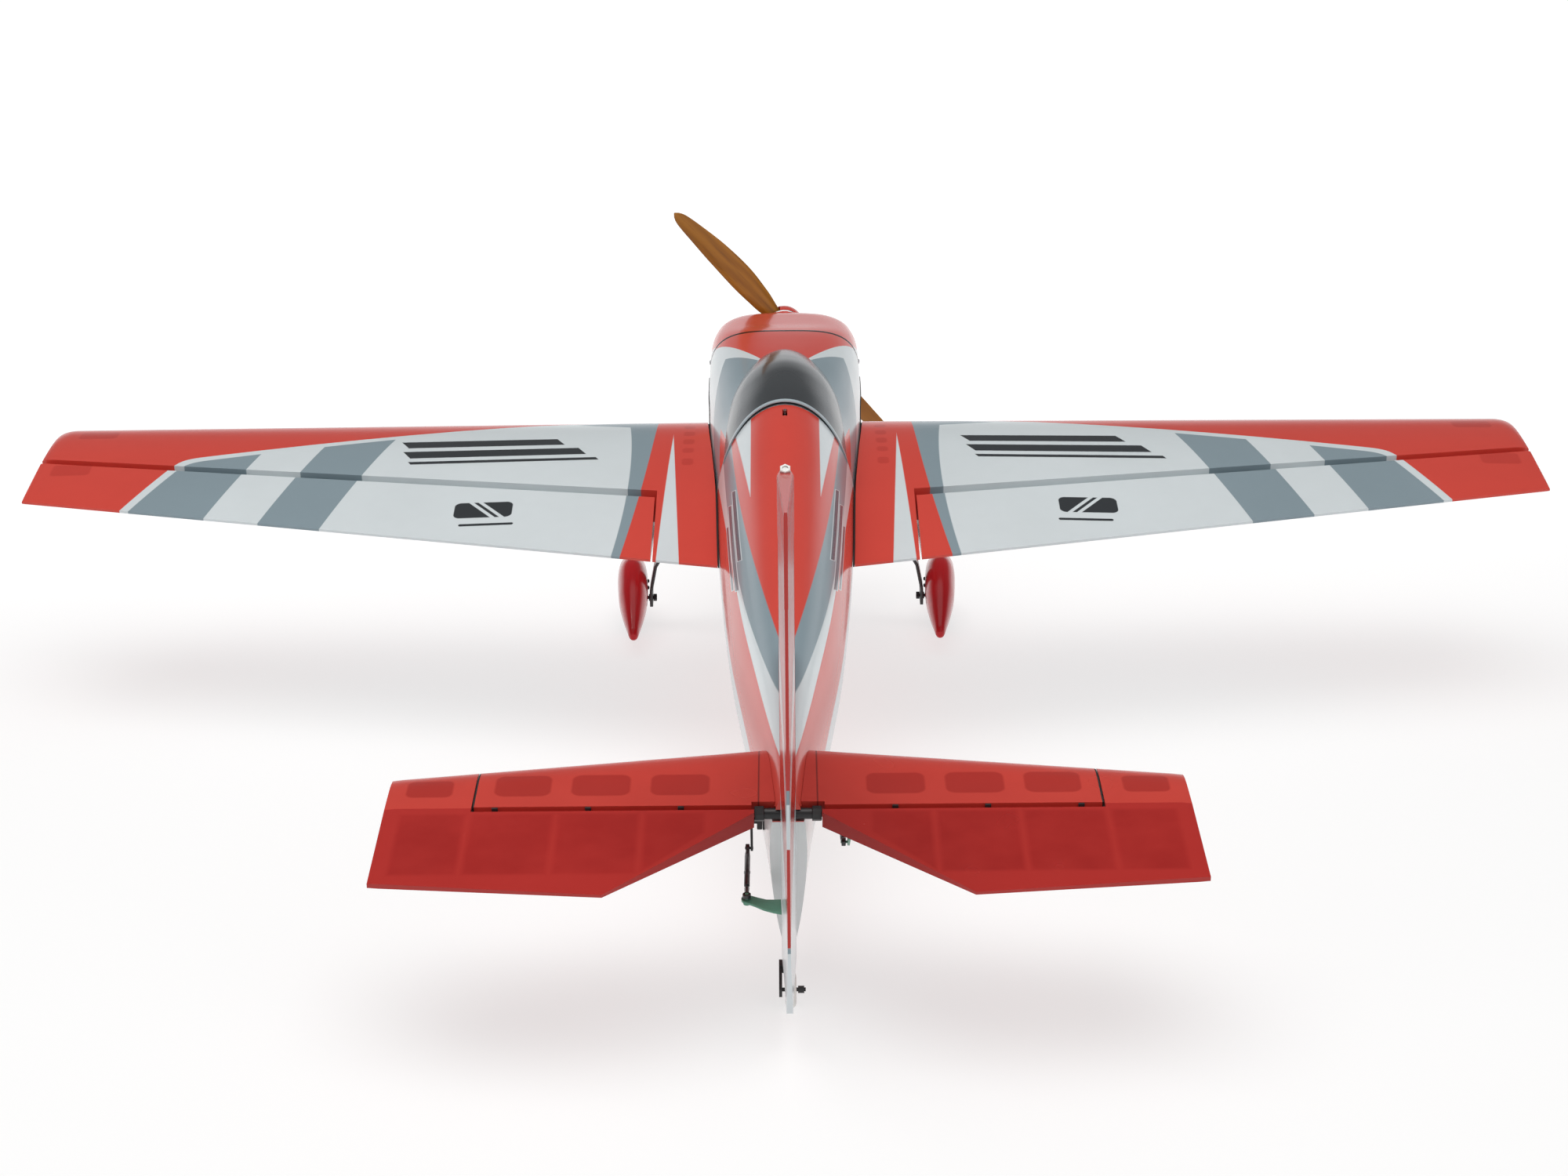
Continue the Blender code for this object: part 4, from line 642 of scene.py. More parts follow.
def join(target, *others):
    """One object of several loose solids, each keeping its material."""
    mesh = bmesh.new()
    mats = []
    for obj in (target,) + others:
        mat = obj.data.materials[0]
        if mat not in mats:
            mats.append(mat)
        start = len(mesh.faces)
        mesh.from_mesh(obj.data)
        mesh.faces.ensure_lookup_table()
        for face in mesh.faces[start:]:
            face.material_index = mats.index(mat)
    mesh.to_mesh(target.data)
    mesh.free()
    target.data.materials.clear()
    for mat in mats:
        target.data.materials.append(mat)
    for obj in others:
        bpy.data.objects.remove(obj)
    return target


def smooth(obj, angle=30.0):
    obj.data.shade_smooth()
    obj.data.set_sharp_from_angle(angle=math.radians(angle))
    return obj


def show(obj, body, slot, *nodes, angle=30.0):
    """Smooth a piece, seat it on its CAD body and let it stand for the CAD nodes."""
    smooth(obj, angle)
    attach(obj, body)
    if nodes:
        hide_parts(*nodes)
    return obj


def loft(name, rings, look=None, closed=False):
    count = len(rings[0])
    points = [p for ring in rings for p in ring]
    faces = []
    spans = len(rings) if closed else len(rings) - 1
    for i in range(spans):
        a, b = i * count, ((i + 1) % len(rings)) * count
        for k in range(count):
            n = (k + 1) % count
            faces.append((a + k, a + n, b + n, b + k))
    if not closed:
        faces.append(tuple(range(count)))
        faces.append(tuple(len(points) - count + k for k in range(count)))
    return piece(name, points, faces, look)


def box(name, low, high, look=None, bevel=0.0):
    rings = []
    for y in (low[1], high[1]):
        rings.append([(low[0], y, low[2]), (high[0], y, low[2]),
                      (high[0], y, high[2]), (low[0], y, high[2])])
    return soften(loft(name, rings, look), bevel)


def soften(obj, bevel, segments=2):
    """Rounded edges, cut into the mesh."""
    if bevel:
        work = bmesh.new()
        work.from_mesh(obj.data)
        edges = [e for e in work.edges if e.is_manifold and e.calc_face_angle(0.0) > 0.5]
        bmesh.ops.bevel(work, geom=edges, offset=bevel, segments=segments, affect='EDGES',
                        profile=0.5, clamp_overlap=True)
        work.to_mesh(obj.data)
        work.free()
    return obj


def axes_for(direction):
    direction = Vector(direction).normalized()
    helper = Vector((0, 0, 1)) if abs(direction.z) < 0.9 else Vector((0, 1, 0))
    side = direction.cross(helper).normalized()
    return side, direction.cross(side).normalized()


def turned(name, base, direction, profile, look=None, sides=48, phase=0.0, closed=False):
    """Solid of revolution: profile is a list of (distance along, radius)."""
    base, direction = Vector(base), Vector(direction).normalized()
    side, up = axes_for(direction)
    rings = []
    for along, radius in profile:
        ring = []
        for k in range(sides):
            a = phase + 2.0 * math.pi * k / sides
            ring.append(base + direction * along + radius * (side * math.cos(a) + up * math.sin(a)))
        rings.append(ring)
    return loft(name, rings, look, closed)


def rod(name, start, end, radius, look=None, sides=24, phase=0.0):
    start, end = Vector(start), Vector(end)
    return turned(name, start, end - start, [(0.0, radius), ((end - start).length, radius)], look,
                  sides, phase)


def prism(name, outline, low, high, axis, look=None):
    rings = []
    for level in (low, high):
        ring = []
        for a, b in outline:
            point = [a, b]
            point.insert("xyz".index(axis), level)
            ring.append(tuple(point))
        rings.append(ring)
    return loft(name, rings, look)


def angles(count):
    """Evenly spaced angles of one full turn."""
    return [2.0 * math.pi * k / count for k in range(count)]


def disc(length, radius, chamfer, ease=0.0004):
    """Profile of a disc whose rims are chamfered: `chamfer` along the axis, `ease` in radius."""
    return [(0.0, radius - ease), (chamfer, radius), (length - chamfer, radius), (length, radius - ease)]


def drill(target, start, end, radius, sides=24):
    """Round hole between two points."""
    return combine(target, rod("drill", start, end, radius, sides=sides))


def thrust_bore(target, radius, sides=24):
    """Hole through the nose along the thrust line."""
    return drill(target, (0, -0.3, THRUST_Z), (0, -0.2, THRUST_Z), radius, sides)


def cut_box(target, low, high):
    return combine(target, box("cutter", low, high))


def steps(low, high, most):
    """Evenly spaced values from low to high, no further apart than `most`."""
    count = max(1, math.ceil(abs(high - low) / most))
    return [low + (high - low) * i / count for i in range(count + 1)]


def station(table, y):
    """Row of a station table at y, on a monotone cubic through the rows."""
    if y <= table[0][0]:
        return (y,) + table[0][1:]
    if y >= table[-1][0]:
        return (y,) + table[-1][1:]
    i = max(k for k in range(len(table) - 1) if table[k][0] <= y)
    h = table[i + 1][0] - table[i][0]
    t = (y - table[i][0]) / h

    def slope(k, column):
        rise = [(table[j + 1][column] - table[j][column]) / (table[j + 1][0] - table[j][0])
                for j in (k - 1, k) if 0 <= j < len(table) - 1]
        if len(rise) == 1:
            return rise[0]
        return 0.0 if rise[0] * rise[1] <= 0 else 2.0 * rise[0] * rise[1] / (rise[0] + rise[1])

    row = [y]
    for column in range(1, len(table[0])):
        a, b = table[i][column], table[i + 1][column]
        ma, mb = slope(i, column) * h, slope(i + 1, column) * h
        row.append(a * (1 + 2 * t) * (1 - t) ** 2 + b * t * t * (3 - 2 * t)
                   + ma * t * (1 - t) ** 2 + mb * t * t * (t - 1))
    return tuple(row)


def section(y, half, top, bottom, mid, full_top, full_bottom, grow=0.0, count=96):
    """Shell cross-section of two half super-ellipses, points spread evenly along the line."""
    ring = []
    for upper in (True, False):
        power = 2.0 / (full_top if upper else full_bottom)
        height = ((top - mid) if upper else (mid - bottom)) + grow
        curve = []
        for k in range(241):
            a = math.pi * k / 240
            c, s = math.cos(a), math.sin(a)
            x = (half + grow) * math.copysign(abs(c) ** power, c)
            z = height * abs(s) ** power
            curve.append((x, z) if upper else (-x, -z))
        length = [0.0]
        for p, q in zip(curve, curve[1:]):
            length.append(length[-1] + math.hypot(q[0] - p[0], q[1] - p[1]))
        at = 0
        for k in range(count // 2):
            want = length[-1] * k / (count // 2)
            while length[at + 1] < want:
                at += 1
            t = (want - length[at]) / max(1e-12, length[at + 1] - length[at])
            p, q = curve[at], curve[at + 1]
            ring.append((p[0] + (q[0] - p[0]) * t, y, mid + p[1] + (q[1] - p[1]) * t))
    return ring


def shell(name, grow=0.0, front=HULL_FRONT_Y, end=HULL_END_Y, look=None, pitch=0.012, count=96):
    """Closed solid of the fuselage outside, between two stations."""
    rings = [section(*station(SHELL, y), grow=grow, count=count) for y in steps(front, end, pitch)]
    return loft(name, rings, look)


def wing_te(x):
    return ROOT_TE_Y + (TIP_TE_Y - ROOT_TE_Y) * x / HALF_SPAN


def aileron_hinge(x):
    return AIL_HINGE_IN_Y + (AIL_HINGE_TIP_Y - AIL_HINGE_IN_Y) * (x - AIL_IN_X) / (HALF_SPAN - AIL_IN_X)


def wing_half_thickness(share, chord):
    t = max(0.0, min(1.0, share))
    curve = (0.2969 * math.sqrt(t) - 0.126 * t - 0.3516 * t ** 2 + 0.2843 * t ** 3 - 0.1036 * t ** 4)
    return 5.0 * WING_THICKNESS * chord * curve + TE_HALF * t


def wing_z(x, y):
    chord = wing_te(x) - WING_LE_Y
    return wing_half_thickness((y - WING_LE_Y) / chord, chord)


# ---------------------------------------------------------------- fuselage, hatch, canopy, cowl
def fuselage_pieces():
    hull = shell("fuselage_skin", front=SKIN_FRONT_Y, look="hull_film")
    cavity = shell("cavity", -HULL_WALL, HULL_FRONT_Y - 0.01, 0.905, pitch=0.03, count=48)
    cut_box(cavity, (-0.2, HATCH_REAR_Y, HATCH_SILL_Z), (0.2, HATCH_REAR_Y + 0.003, 0.3))
    combine(hull, cavity)
    for cut in (
            box("opening", (-0.2, -0.2, HATCH_SILL_Z), (0.2, HATCH_REAR_Y, 0.3)),
            rod("tube_hole", (-0.2, TUBE_Y, 0), (0.2, TUBE_Y, 0), TUBE_R + GAP),
            rod("stab_hole", (-0.1, STAB_TUBE_Y, STAB_Z), (0.1, STAB_TUBE_Y, STAB_Z), 0.0043),
            rod("joiner_hole", (-0.1, ELEV_HINGE_Y, STAB_Z), (0.1, ELEV_HINGE_Y, STAB_Z), 0.006),
            box("gear_seat", (-0.06, -0.0528, -0.2), (0.06, -0.0072, -0.1025)),
            box("servo_port", (0.0, 0.8632, RUD_SERVO_Z - SERVO_PORT_HALF),
                (0.1, 0.8928, RUD_SERVO_Z + SERVO_PORT_HALF)),
            box("servo_starboard", (-0.1, 0.8387, ELEV_SERVO_Z - SERVO_PORT_HALF),
                (0.0, 0.8683, ELEV_SERVO_Z + SERVO_PORT_HALF)),
            box("outlet", (-0.022, 0.6, -0.2), (0.022, 0.68, -0.06)),
            rod("latch_hole", (0, 0.2, DECK_LATCH_Z), (0, 0.262, DECK_LATCH_Z), 0.0024),
            box("latch_slot", (-0.0024, 0.252, 0.1), (0.0024, 0.268, 0.13))):
        combine(hull, cut)
    show(hull, "airframe", "fuselage_film", "fuselage")

    hatch = shell("hatch_skin", 0.0, SKIN_FRONT_Y, HATCH_REAR_Y - 0.0009, "hatch_film")
    combine(hatch, shell("hatch_inner", -0.0025, HULL_FRONT_Y - 0.01, HATCH_REAR_Y - 0.004, pitch=0.03,
                         count=48))
    cockpit = [(-0.052, 0.215), (-0.048, 0.12), (-0.034, 0.05), (-0.016, 0.02),
               (0.016, 0.02), (0.034, 0.05), (0.048, 0.12), (0.052, 0.215)]
    for cut in (box("hatch_below", (-0.2, -0.2, -0.2), (0.2, 0.3, HATCH_SILL_Z + 0.0017)),
                prism("cockpit", cockpit, 0.03, 0.3, 'z'),
                rod("striker", (0, 0.2, DECK_LATCH_Z), (0, 0.262, DECK_LATCH_Z), 0.0024)):
        combine(hatch, cut)
    show(hatch, "hatch_unit", "hatch_film", "hatch")

    canopy = dome("canopy_bubble", 0.0, "smoke_canopy")
    combine(canopy, dome("canopy_inner", -0.0016))
    combine(canopy, shell("deck", GAP, HULL_FRONT_Y, HATCH_REAR_Y + 0.004, count=64))
    cut_box(canopy, (-0.2, -0.2, -0.2), (0.2, 0.4, 0.02))
    show(canopy, "hatch_unit", "canopy_tint", "canopy", angle=50)

    # Painted shade: dark bands lie in the joints, a little below the skin, standing for the shade in the
    # gaps; at the hatch sill one stands just proud.
    gap_shade = shell_band("hatch_gap_shade", -0.0012, -0.0024, HATCH_REAR_Y - 0.003, HATCH_REAR_Y - 0.0002)
    cut_box(gap_shade, (-0.2, 0.0, -0.2), (0.2, 0.4, HATCH_SILL_Z + 0.001))
    show(gap_shade, "hatch_unit", "black_plastic")
    gap_shade = shell_band("cowl_gap_shade", -0.0007, -0.0019, -0.1022, -0.0997)
    show(gap_shade, "airframe", "black_plastic")
    sill = shell_band("sill_gap_shade", 0.0009, -0.0022, -0.099, HATCH_REAR_Y - 0.001, 0.012)
    cut_box(sill, (-0.2, -0.2, HATCH_SILL_Z + 0.0014), (0.2, 0.3, 0.3))
    cut_box(sill, (-0.2, -0.2, -0.3), (0.2, 0.3, HATCH_SILL_Z + 0.0001))
    show(sill, "airframe", "black_plastic")


def shell_band(name, outer, inner, front, rear, pitch=0.002):
    """Thin ring that follows the shell between two depths below its surface."""
    band = shell(name, outer, front, rear, "lead_black_and_gap_shade", pitch)
    return combine(band, shell("band_inner", inner, front - 0.01, rear + 0.01, pitch=0.01))


def dome(name, grow, look=None):
    """Canopy bubble; it meets the deck behind it."""
    rings = []
    for y in steps(BUBBLE[0][0], BUBBLE[-1][0], 0.006):
        _, half, foot, top = station(BUBBLE, y)
        if grow and y > 0.23:
            y += 0.01
        if grow and y < -0.008:
            y -= grow * 6
        ring = []
        for k in range(49):
            a = math.pi * k / 48
            ring.append(((half + grow) * math.cos(a), y, foot + (top + grow - foot) * math.sin(a)))
        ring.append((-(half + grow) * 0.9, y, -0.02))
        ring.append(((half + grow) * 0.9, y, -0.02))
        rings.append(ring)
    return loft(name, rings, look)


def cowl_pieces():
    rings = [section(*station(SHELL, y)) for y in steps(COWL_REAR_Y, -0.238, 0.008)]
    # The shell runs into a round nose ring through one station halfway between the two outlines.
    last = rings[-1]
    for y, radius, keep in ((-0.2405, 0.027, 0.5), (-0.243, 0.0264, 0.0), (-0.2458, 0.0255, 0.0),
                            (COWL_FRONT_Y, COWL_RING_R, 0.0)):
        ring = []
        for k, angle in enumerate(angles(96)):
            point = Vector((radius * math.cos(angle), y, THRUST_Z + radius * math.sin(angle)))
            ring.append(point.lerp(Vector((last[k][0], y, last[k][2])), keep))
        rings.append(ring)
    cowl = loft("cowl_shell", rings, "cowl_paint")
    inner = [section(*station(SHELL, y), grow=-0.0022, count=48) for y in steps(-0.09, -0.226, 0.01)]
    inner.append(section(-0.235, *station(SHELL, -0.238)[1:], grow=-0.004, count=48))
    combine(cowl, loft("cowl_inner", inner))
    thrust_bore(cowl, 0.0225, 64)
    for side in (1, -1):
        inlet = [(side * x, z) for x, z in ((0.036, 0.03), (0.044, 0.0325), (0.052, 0.032),
                                            (0.06, 0.028), (0.064, 0.02), (0.065, 0.008),
                                            (0.064, -0.004), (0.06, -0.012), (0.054, -0.016),
                                            (0.044, -0.0155), (0.036, -0.012), (0.0335, 0.008))]
        combine(cowl, prism("inlet", inlet, -0.3, -0.205, 'y'))
    cut_box(cowl, (-0.035, -0.15, -0.12), (0.035, -0.095, -0.06))
    show(cowl, "airframe", "cowl_paint", "cowl", angle=35)

    # Four button-head screws hold the cowl to the firewall ring.
    row = station(SHELL, -0.11)
    ring = section(*row)
    for index, at in enumerate((5, 43, 57, 87)):
        here, after = Vector(ring[at]), Vector(ring[(at + 1) % 96])
        out = (after - here).cross(Vector((0, 1, 0))).normalized()
        if out.dot(here) < 0:
            out = -out
        head = turned("cowl_screw_%d" % (index + 1), here - out * 0.0015, out,
                      [(0.0, 0.0027), (0.0018, 0.0027), (0.0026, 0.0021), (0.0029, 0.001)], "steel", 20)
        drill(head, here, here + out * 0.01, 0.0009, sides=6)
        show(head, "airframe", "steel")


def propeller():
    """Two blades whose root runs into a bored hub; each row is reach, chord, thickness and pitch angle."""
    hub, ahead = Vector((0.0, PROP_Y, THRUST_Z)), Vector((0, -1, 0))
    blades = turned("propeller_blades", (0, PROP_Y + 0.0065, THRUST_Z), (0, -1, 0),
                    disc(0.013, 0.0125, 0.0006, 0.0007), "prop_wood")
    rows = ((0.0, 0.014, 0.0105, 15), (0.02, 0.0185, 0.0105, 30), (0.045, 0.027, 0.0085, 32),
            (0.08, 0.031, 0.0062, 24), (0.12, 0.028, 0.0046, 18), (0.155, 0.0215, 0.0034, 14),
            (0.18, 0.015, 0.0026, 12), (PROP_R, 0.006, 0.0018, 11))
    for half_turn in (0.0, math.pi):
        out = Vector((math.sin(PROP_ANGLE + half_turn), 0, math.cos(PROP_ANGLE + half_turn)))
        lead = Vector((-out.z, 0, out.x))
        rings = []
        for reach in steps(0.0, PROP_R, 0.0035):
            radius, chord, thick, pitch = station(rows, reach)
            if reach > 0.186:
                chord *= math.sqrt(max(0.05, 1 - ((reach - 0.186) / 0.0066) ** 2))
            a = math.radians(pitch)
            along = lead * math.cos(a) + ahead * math.sin(a)
            across = ahead * math.cos(a) - lead * math.sin(a)
            sweep = lead * (0.004 * math.sin(math.pi * radius / PROP_R))
            ring = []
            for t in angles(36):
                # The forward face of the blade is a little fuller than the rear one.
                lift = math.sin(t) * (1.0 if math.sin(t) > 0 else 0.92)
                ring.append(hub + out * radius + sweep + along * (chord / 2 * math.cos(t))
                            + across * (thick / 2 * lift))
            rings.append(ring)
        combine(blades, loft("blade", rings), 'UNION')
    thrust_bore(blades, SHAFT_BORE_R)
    show(blades, "propeller_unit", "prop_wood", "propeller", angle=40)


def spinner_pieces():
    cone = [(0.0, 0.0238), (0.0008, 0.024), (0.012, 0.0236), (0.019, 0.0222), (0.025, 0.02),
            (0.031, 0.0173), (0.037, 0.014), (0.0415, 0.0106), (0.045, 0.007), (0.047, 0.0042),
            (0.048, 0.0016)]
    spinner = turned("spinner_cone", (0, -0.2552, THRUST_Z), (0, -1, 0), cone, "cowl_paint", 64)
    combine(spinner, turned("spinner_inner", (0, -0.2542, THRUST_Z), (0, -1, 0),
                            [(0.0, 0.0222), (0.013, 0.0218), (0.025, 0.0184), (0.037, 0.011),
                             (0.042, 0.005)]))
    out = Vector((math.sin(PROP_ANGLE), 0, math.cos(PROP_ANGLE)))
    lead = Vector((-out.z, 0, out.x))
    rings = []
    for reach in (-0.03, 0.03):
        rings.append([Vector((0, y, THRUST_Z)) + out * reach + lead * a
                      for a, y in ((-0.012, -0.25), (0.012, -0.25), (0.012, -0.272),
                                   (-0.012, -0.272))])
    combine(spinner, loft("blade_slot", rings))
    show(spinner, "propeller_unit", "cowl_paint", "spinner", angle=40)

    plate = turned("spinner_plate", (0, -0.2517, THRUST_Z), (0, -1, 0),
                   disc(0.0032, 0.024, 0.0004), "aluminium", 64)
    thrust_bore(plate, SHAFT_BORE_R)
    show(plate, "propeller_unit", "aluminium", "spinner_backplate")


def motor_pieces():
    """Out-runner: vented can and shaft in one piece, with copper windings behind it."""
    can = turned("motor_can", (0, -0.1756, THRUST_Z), (0, -1, 0),
                 [(0.0, 0.0226), (0.0006, 0.023), (0.038, 0.023), (0.0405, 0.0214), (0.043, 0.013),
                  (0.043, 0.004), (0.115, 0.004)], "black_case", 64)
    for a in angles(8):
        spot = Vector((0.0165 * math.cos(a), -0.2145, THRUST_Z + 0.0165 * math.sin(a)))
        drill(can, spot + Vector((0, 0.004, 0)), spot - Vector((0, 0.01, 0)), 0.0032, sides=16)
    show(can, "propeller_unit", "black_plastic", "motor_rotor")
    coils = [turned("motor_windings", (0, -0.1643, THRUST_Z), (0, -1, 0),
                    [(0.0, 0.0192), (0.0008, 0.02), (0.0074, 0.02), (0.008, 0.0192),
                     (0.008, 0.012), (0.011, 0.012)], "aluminium", 64)]
    for a in angles(12):
        mid = Vector((0.0158 * math.cos(a), -0.1737, THRUST_Z + 0.0158 * math.sin(a)))
        outward = Vector((math.cos(a), 0, math.sin(a)))
        coils.append(rod("coil", mid - outward * 0.0032, mid + outward * 0.0032, 0.0013, "copper_wire",
                         12))
    show(join(*coils), "airframe", "aluminium", "motor_stator")
    nut = turned("propeller_nut", (0, -0.2689, THRUST_Z), (0, -1, 0),
                 disc(0.006, 0.0062, 0.0004), "steel", 6)
    thrust_bore(nut, SHAFT_BORE_R)
    show(nut, "propeller_unit", "steel", "prop_nut")


# ---------------------------------------------------------------- wing
SHARES = [1.0, 0.96, 0.92, 0.85, 0.78, 0.71, 0.64, 0.57, 0.5, 0.43, 0.37, 0.31, 0.255, 0.205, 0.16,
          0.12, 0.087, 0.06, 0.04, 0.025, 0.014, 0.007, 0.0025, 0.0006]


def wing_ring(side, x, le, shrink=1.0):
    chord = wing_te(x) - WING_LE_Y
    upper, lower = [], []
    for share in SHARES:
        y = le + (WING_LE_Y + chord - le) * share
        half = wing_half_thickness(share, chord) * shrink
        upper.append((side * x, y, half))
        lower.append((side * x, y, -half))
    return upper + [(side * x, le, 0.0)] + lower[::-1]


def aileron_ring(side, x, shrink=1.0):
    hinge, te = aileron_hinge(x), wing_te(x)
    front = hinge + BEVEL * wing_z(x, hinge)
    rows = [te + (front - te) * t for t in (0.0, 0.12, 0.24, 0.36, 0.5, 0.64, 0.78, 0.9, 0.97, 1.0)]
    upper = [(side * x, y, wing_z(x, y) * shrink) for y in rows]
    return upper + [(side * x, hinge, 0.0)] + [(a, b, -c) for a, b, c in upper[::-1]]


def hinge_axes():
    along = Vector((HALF_SPAN - AIL_IN_X, AIL_HINGE_TIP_Y - AIL_HINGE_IN_Y, 0.0)).normalized()
    return along, Vector((-along.y, along.x, 0.0))


def linkage_point(side, ahead, out, z):
    along, aft = hinge_axes()
    base = Vector((AIL_SERVO_X, aileron_hinge(AIL_SERVO_X), 0.0)) + along * out - aft * ahead
    return Vector((side * base.x, base.y, z))


def slanted_box(name, side, ahead, out, z, look=None):
    rings = []
    for o in out:
        rings.append([linkage_point(side, ahead[0], o, z[0]), linkage_point(side, ahead[1], o, z[0]),
                      linkage_point(side, ahead[1], o, z[1]), linkage_point(side, ahead[0], o, z[1])])
    return loft(name, rings, look)


def wing_pieces():
    for side, word in SIDES:
        rings = [wing_ring(side, x, WING_LE_Y) for x in steps(0.045, 0.782, 0.025)]
        for k in range(1, 7):
            t = math.sin(math.pi / 2 * k / 6)
            drop = 1 - math.sqrt(max(0.0, 1 - t * t))
            rings.append(wing_ring(side, 0.782 + 0.018 * t, WING_LE_Y + 0.014 * drop, 1 - 0.28 * drop))
        wing = loft("wing_skin_" + word, rings, "wing_film")
        combine(wing, shell("side", 0.0022, -0.05, 0.45, pitch=0.02, count=64))
        inner = AIL_IN_X - 0.002
        bay = [(side * inner, 0.6), (side * inner, aileron_hinge(inner) - HINGE_GAP),
               (side * 0.85, aileron_hinge(0.85) - HINGE_GAP), (side * 0.85, 0.6)]
        combine(wing, prism("aileron_bay", bay, -0.1, 0.1, 'z'))
        drill(wing, (side * 0.02, TUBE_Y, 0), (side * 0.302, TUBE_Y, 0), TUBE_R + GAP)
        z = AIL_SERVO_Z
        combine(wing, slanted_box("pocket", side, (AIL_SERVO_AHEAD - 0.0085, AIL_SERVO_AHEAD + 0.0235),
                                  (-0.025, 0.0085), (z - 0.05, z + 0.0075)))
        combine(wing, slanted_box("arm_slot", side, (AIL_SERVO_AHEAD - 0.026, AIL_SERVO_AHEAD + 0.026),
                                  (-0.0003, 0.0086), (z - 0.05, z + 0.0076)))
        show(wing, "airframe", "wing_film", "wing_" + word, angle=28)

        # Painted shade: a dark band in the gap at the wing root stands for the shade between wing and
        # fuselage.
        gap_shade = loft("wing_root_gap_shade_" + word, [wing_ring(side, x, WING_LE_Y + 0.002, 0.95)
                                              for x in (0.055, 0.075, 0.095)], "lead_black_and_gap_shade")
        combine(gap_shade, shell("gap_shade_inner", 0.0004, -0.05, 0.45, pitch=0.02, count=64))
        limit = shell("gap_shade_outer", 0.0019, -0.05, 0.45, pitch=0.02, count=64)
        combine(gap_shade, limit, 'INTERSECT')
        cut_box(gap_shade, (-0.2, -0.2, HATCH_SILL_Z - 0.001), (0.2, HATCH_REAR_Y, 0.2))
        drill(gap_shade, (-0.2, TUBE_Y, 0), (0.2, TUBE_Y, 0), TUBE_R + 0.001)
        show(gap_shade, "airframe", "black_plastic")

        rings = [aileron_ring(side, x) for x in steps(AIL_IN_X, HALF_SPAN - 0.004, 0.025)]
        rings += [aileron_ring(side, HALF_SPAN - 0.0012, 0.94), aileron_ring(side, HALF_SPAN, 0.78)]
        aileron = loft("aileron_skin_" + word, rings, "wing_film")
        show(aileron, "aileron_" + word, "wing_film", "aileron_" + word, angle=18)
        aileron_linkage(side, word)


# ---------------------------------------------------------------- servo linkages
def servo_case(name, low, high):
    """Servo of three stacked mouldings: foot, body and cap, in that order outward."""
    across = high[0] - low[0]

    def moulding(part, start, end, inset, look, bevel):
        return box(part, (low[0] + across * start, low[1] + inset, low[2] + inset),
                   (low[0] + across * end, high[1] - inset, high[2] - inset), look, bevel)

    return [moulding(name, 0.16, 0.8, 0.0, "black_case", 0.0006),
            moulding("cap", 0.81, 1.0, 0.0002, "black_nylon", 0.0007),
            moulding("foot", 0.0, 0.15, 0.0002, "black_nylon", 0.0007)]


def ball_link(name, centre, axis, run):
    """Moulded socket round a brass ball, with its neck pointing along the rod."""
    centre, axis, run = Vector(centre), Vector(axis).normalized(), Vector(run).normalized()
    ring = turned(name, centre - axis * 0.0017, axis, disc(0.0034, 0.0034, 0.0004), "black_nylon", 28)
    drill(ring, centre - axis * 0.01, centre + axis * 0.01, 0.0021, sides=24)
    neck = turned("neck", centre + run * 0.0028, run,
                  [(0.0, 0.0014), (0.004, 0.0019), (0.0085, 0.0021), (0.0092, 0.0017)], "black_nylon", 6)
    return [ring, neck]


def brass_ball(centre, axis):
    """Ball on a linkage stud, with its two ends cut flat."""
    radius, flat = 0.0019, 0.12
    bends = [math.pi * (flat + (1 - 2 * flat) * k / 10) for k in range(11)]
    profile = [(-radius * math.cos(a), max(0.0015, radius * math.sin(a))) for a in bends]
    return turned("ball", centre, axis, profile, "brass", 20)


def push_rod(name, body, node, start, end, axis, end_axis=None):
    """Turnbuckle rod: thin ends, a thick middle with a hexagon, a ball link at each end."""
    start, end = Vector(start), Vector(end)
    run = (end - start).normalized()
    length = (end - start).length
    tail = length - 0.0072
    shank = turned(name, start + run * 0.01, run,
                   [(0.0, 0.001), (0.002, 0.001), (0.0022, 0.0021), (0.0026, 0.0023),
                    (tail - 0.0175, 0.0023), (tail - 0.017, 0.0021), (tail - 0.0168, 0.001),
                    (tail - 0.0128, 0.001)], "carbon_twill", 20)
    parts = [shank] + ball_link("start_link", start, axis, run)
    mid = start + run * (length * 0.52)
    parts.append(turned("hexagon", mid - run * 0.002, run, disc(0.004, 0.0026, 0.0003), "steel", 6))
    parts += ball_link("end_link", end, end_axis or axis, -run)
    show(join(*parts), body, "carbon", node)


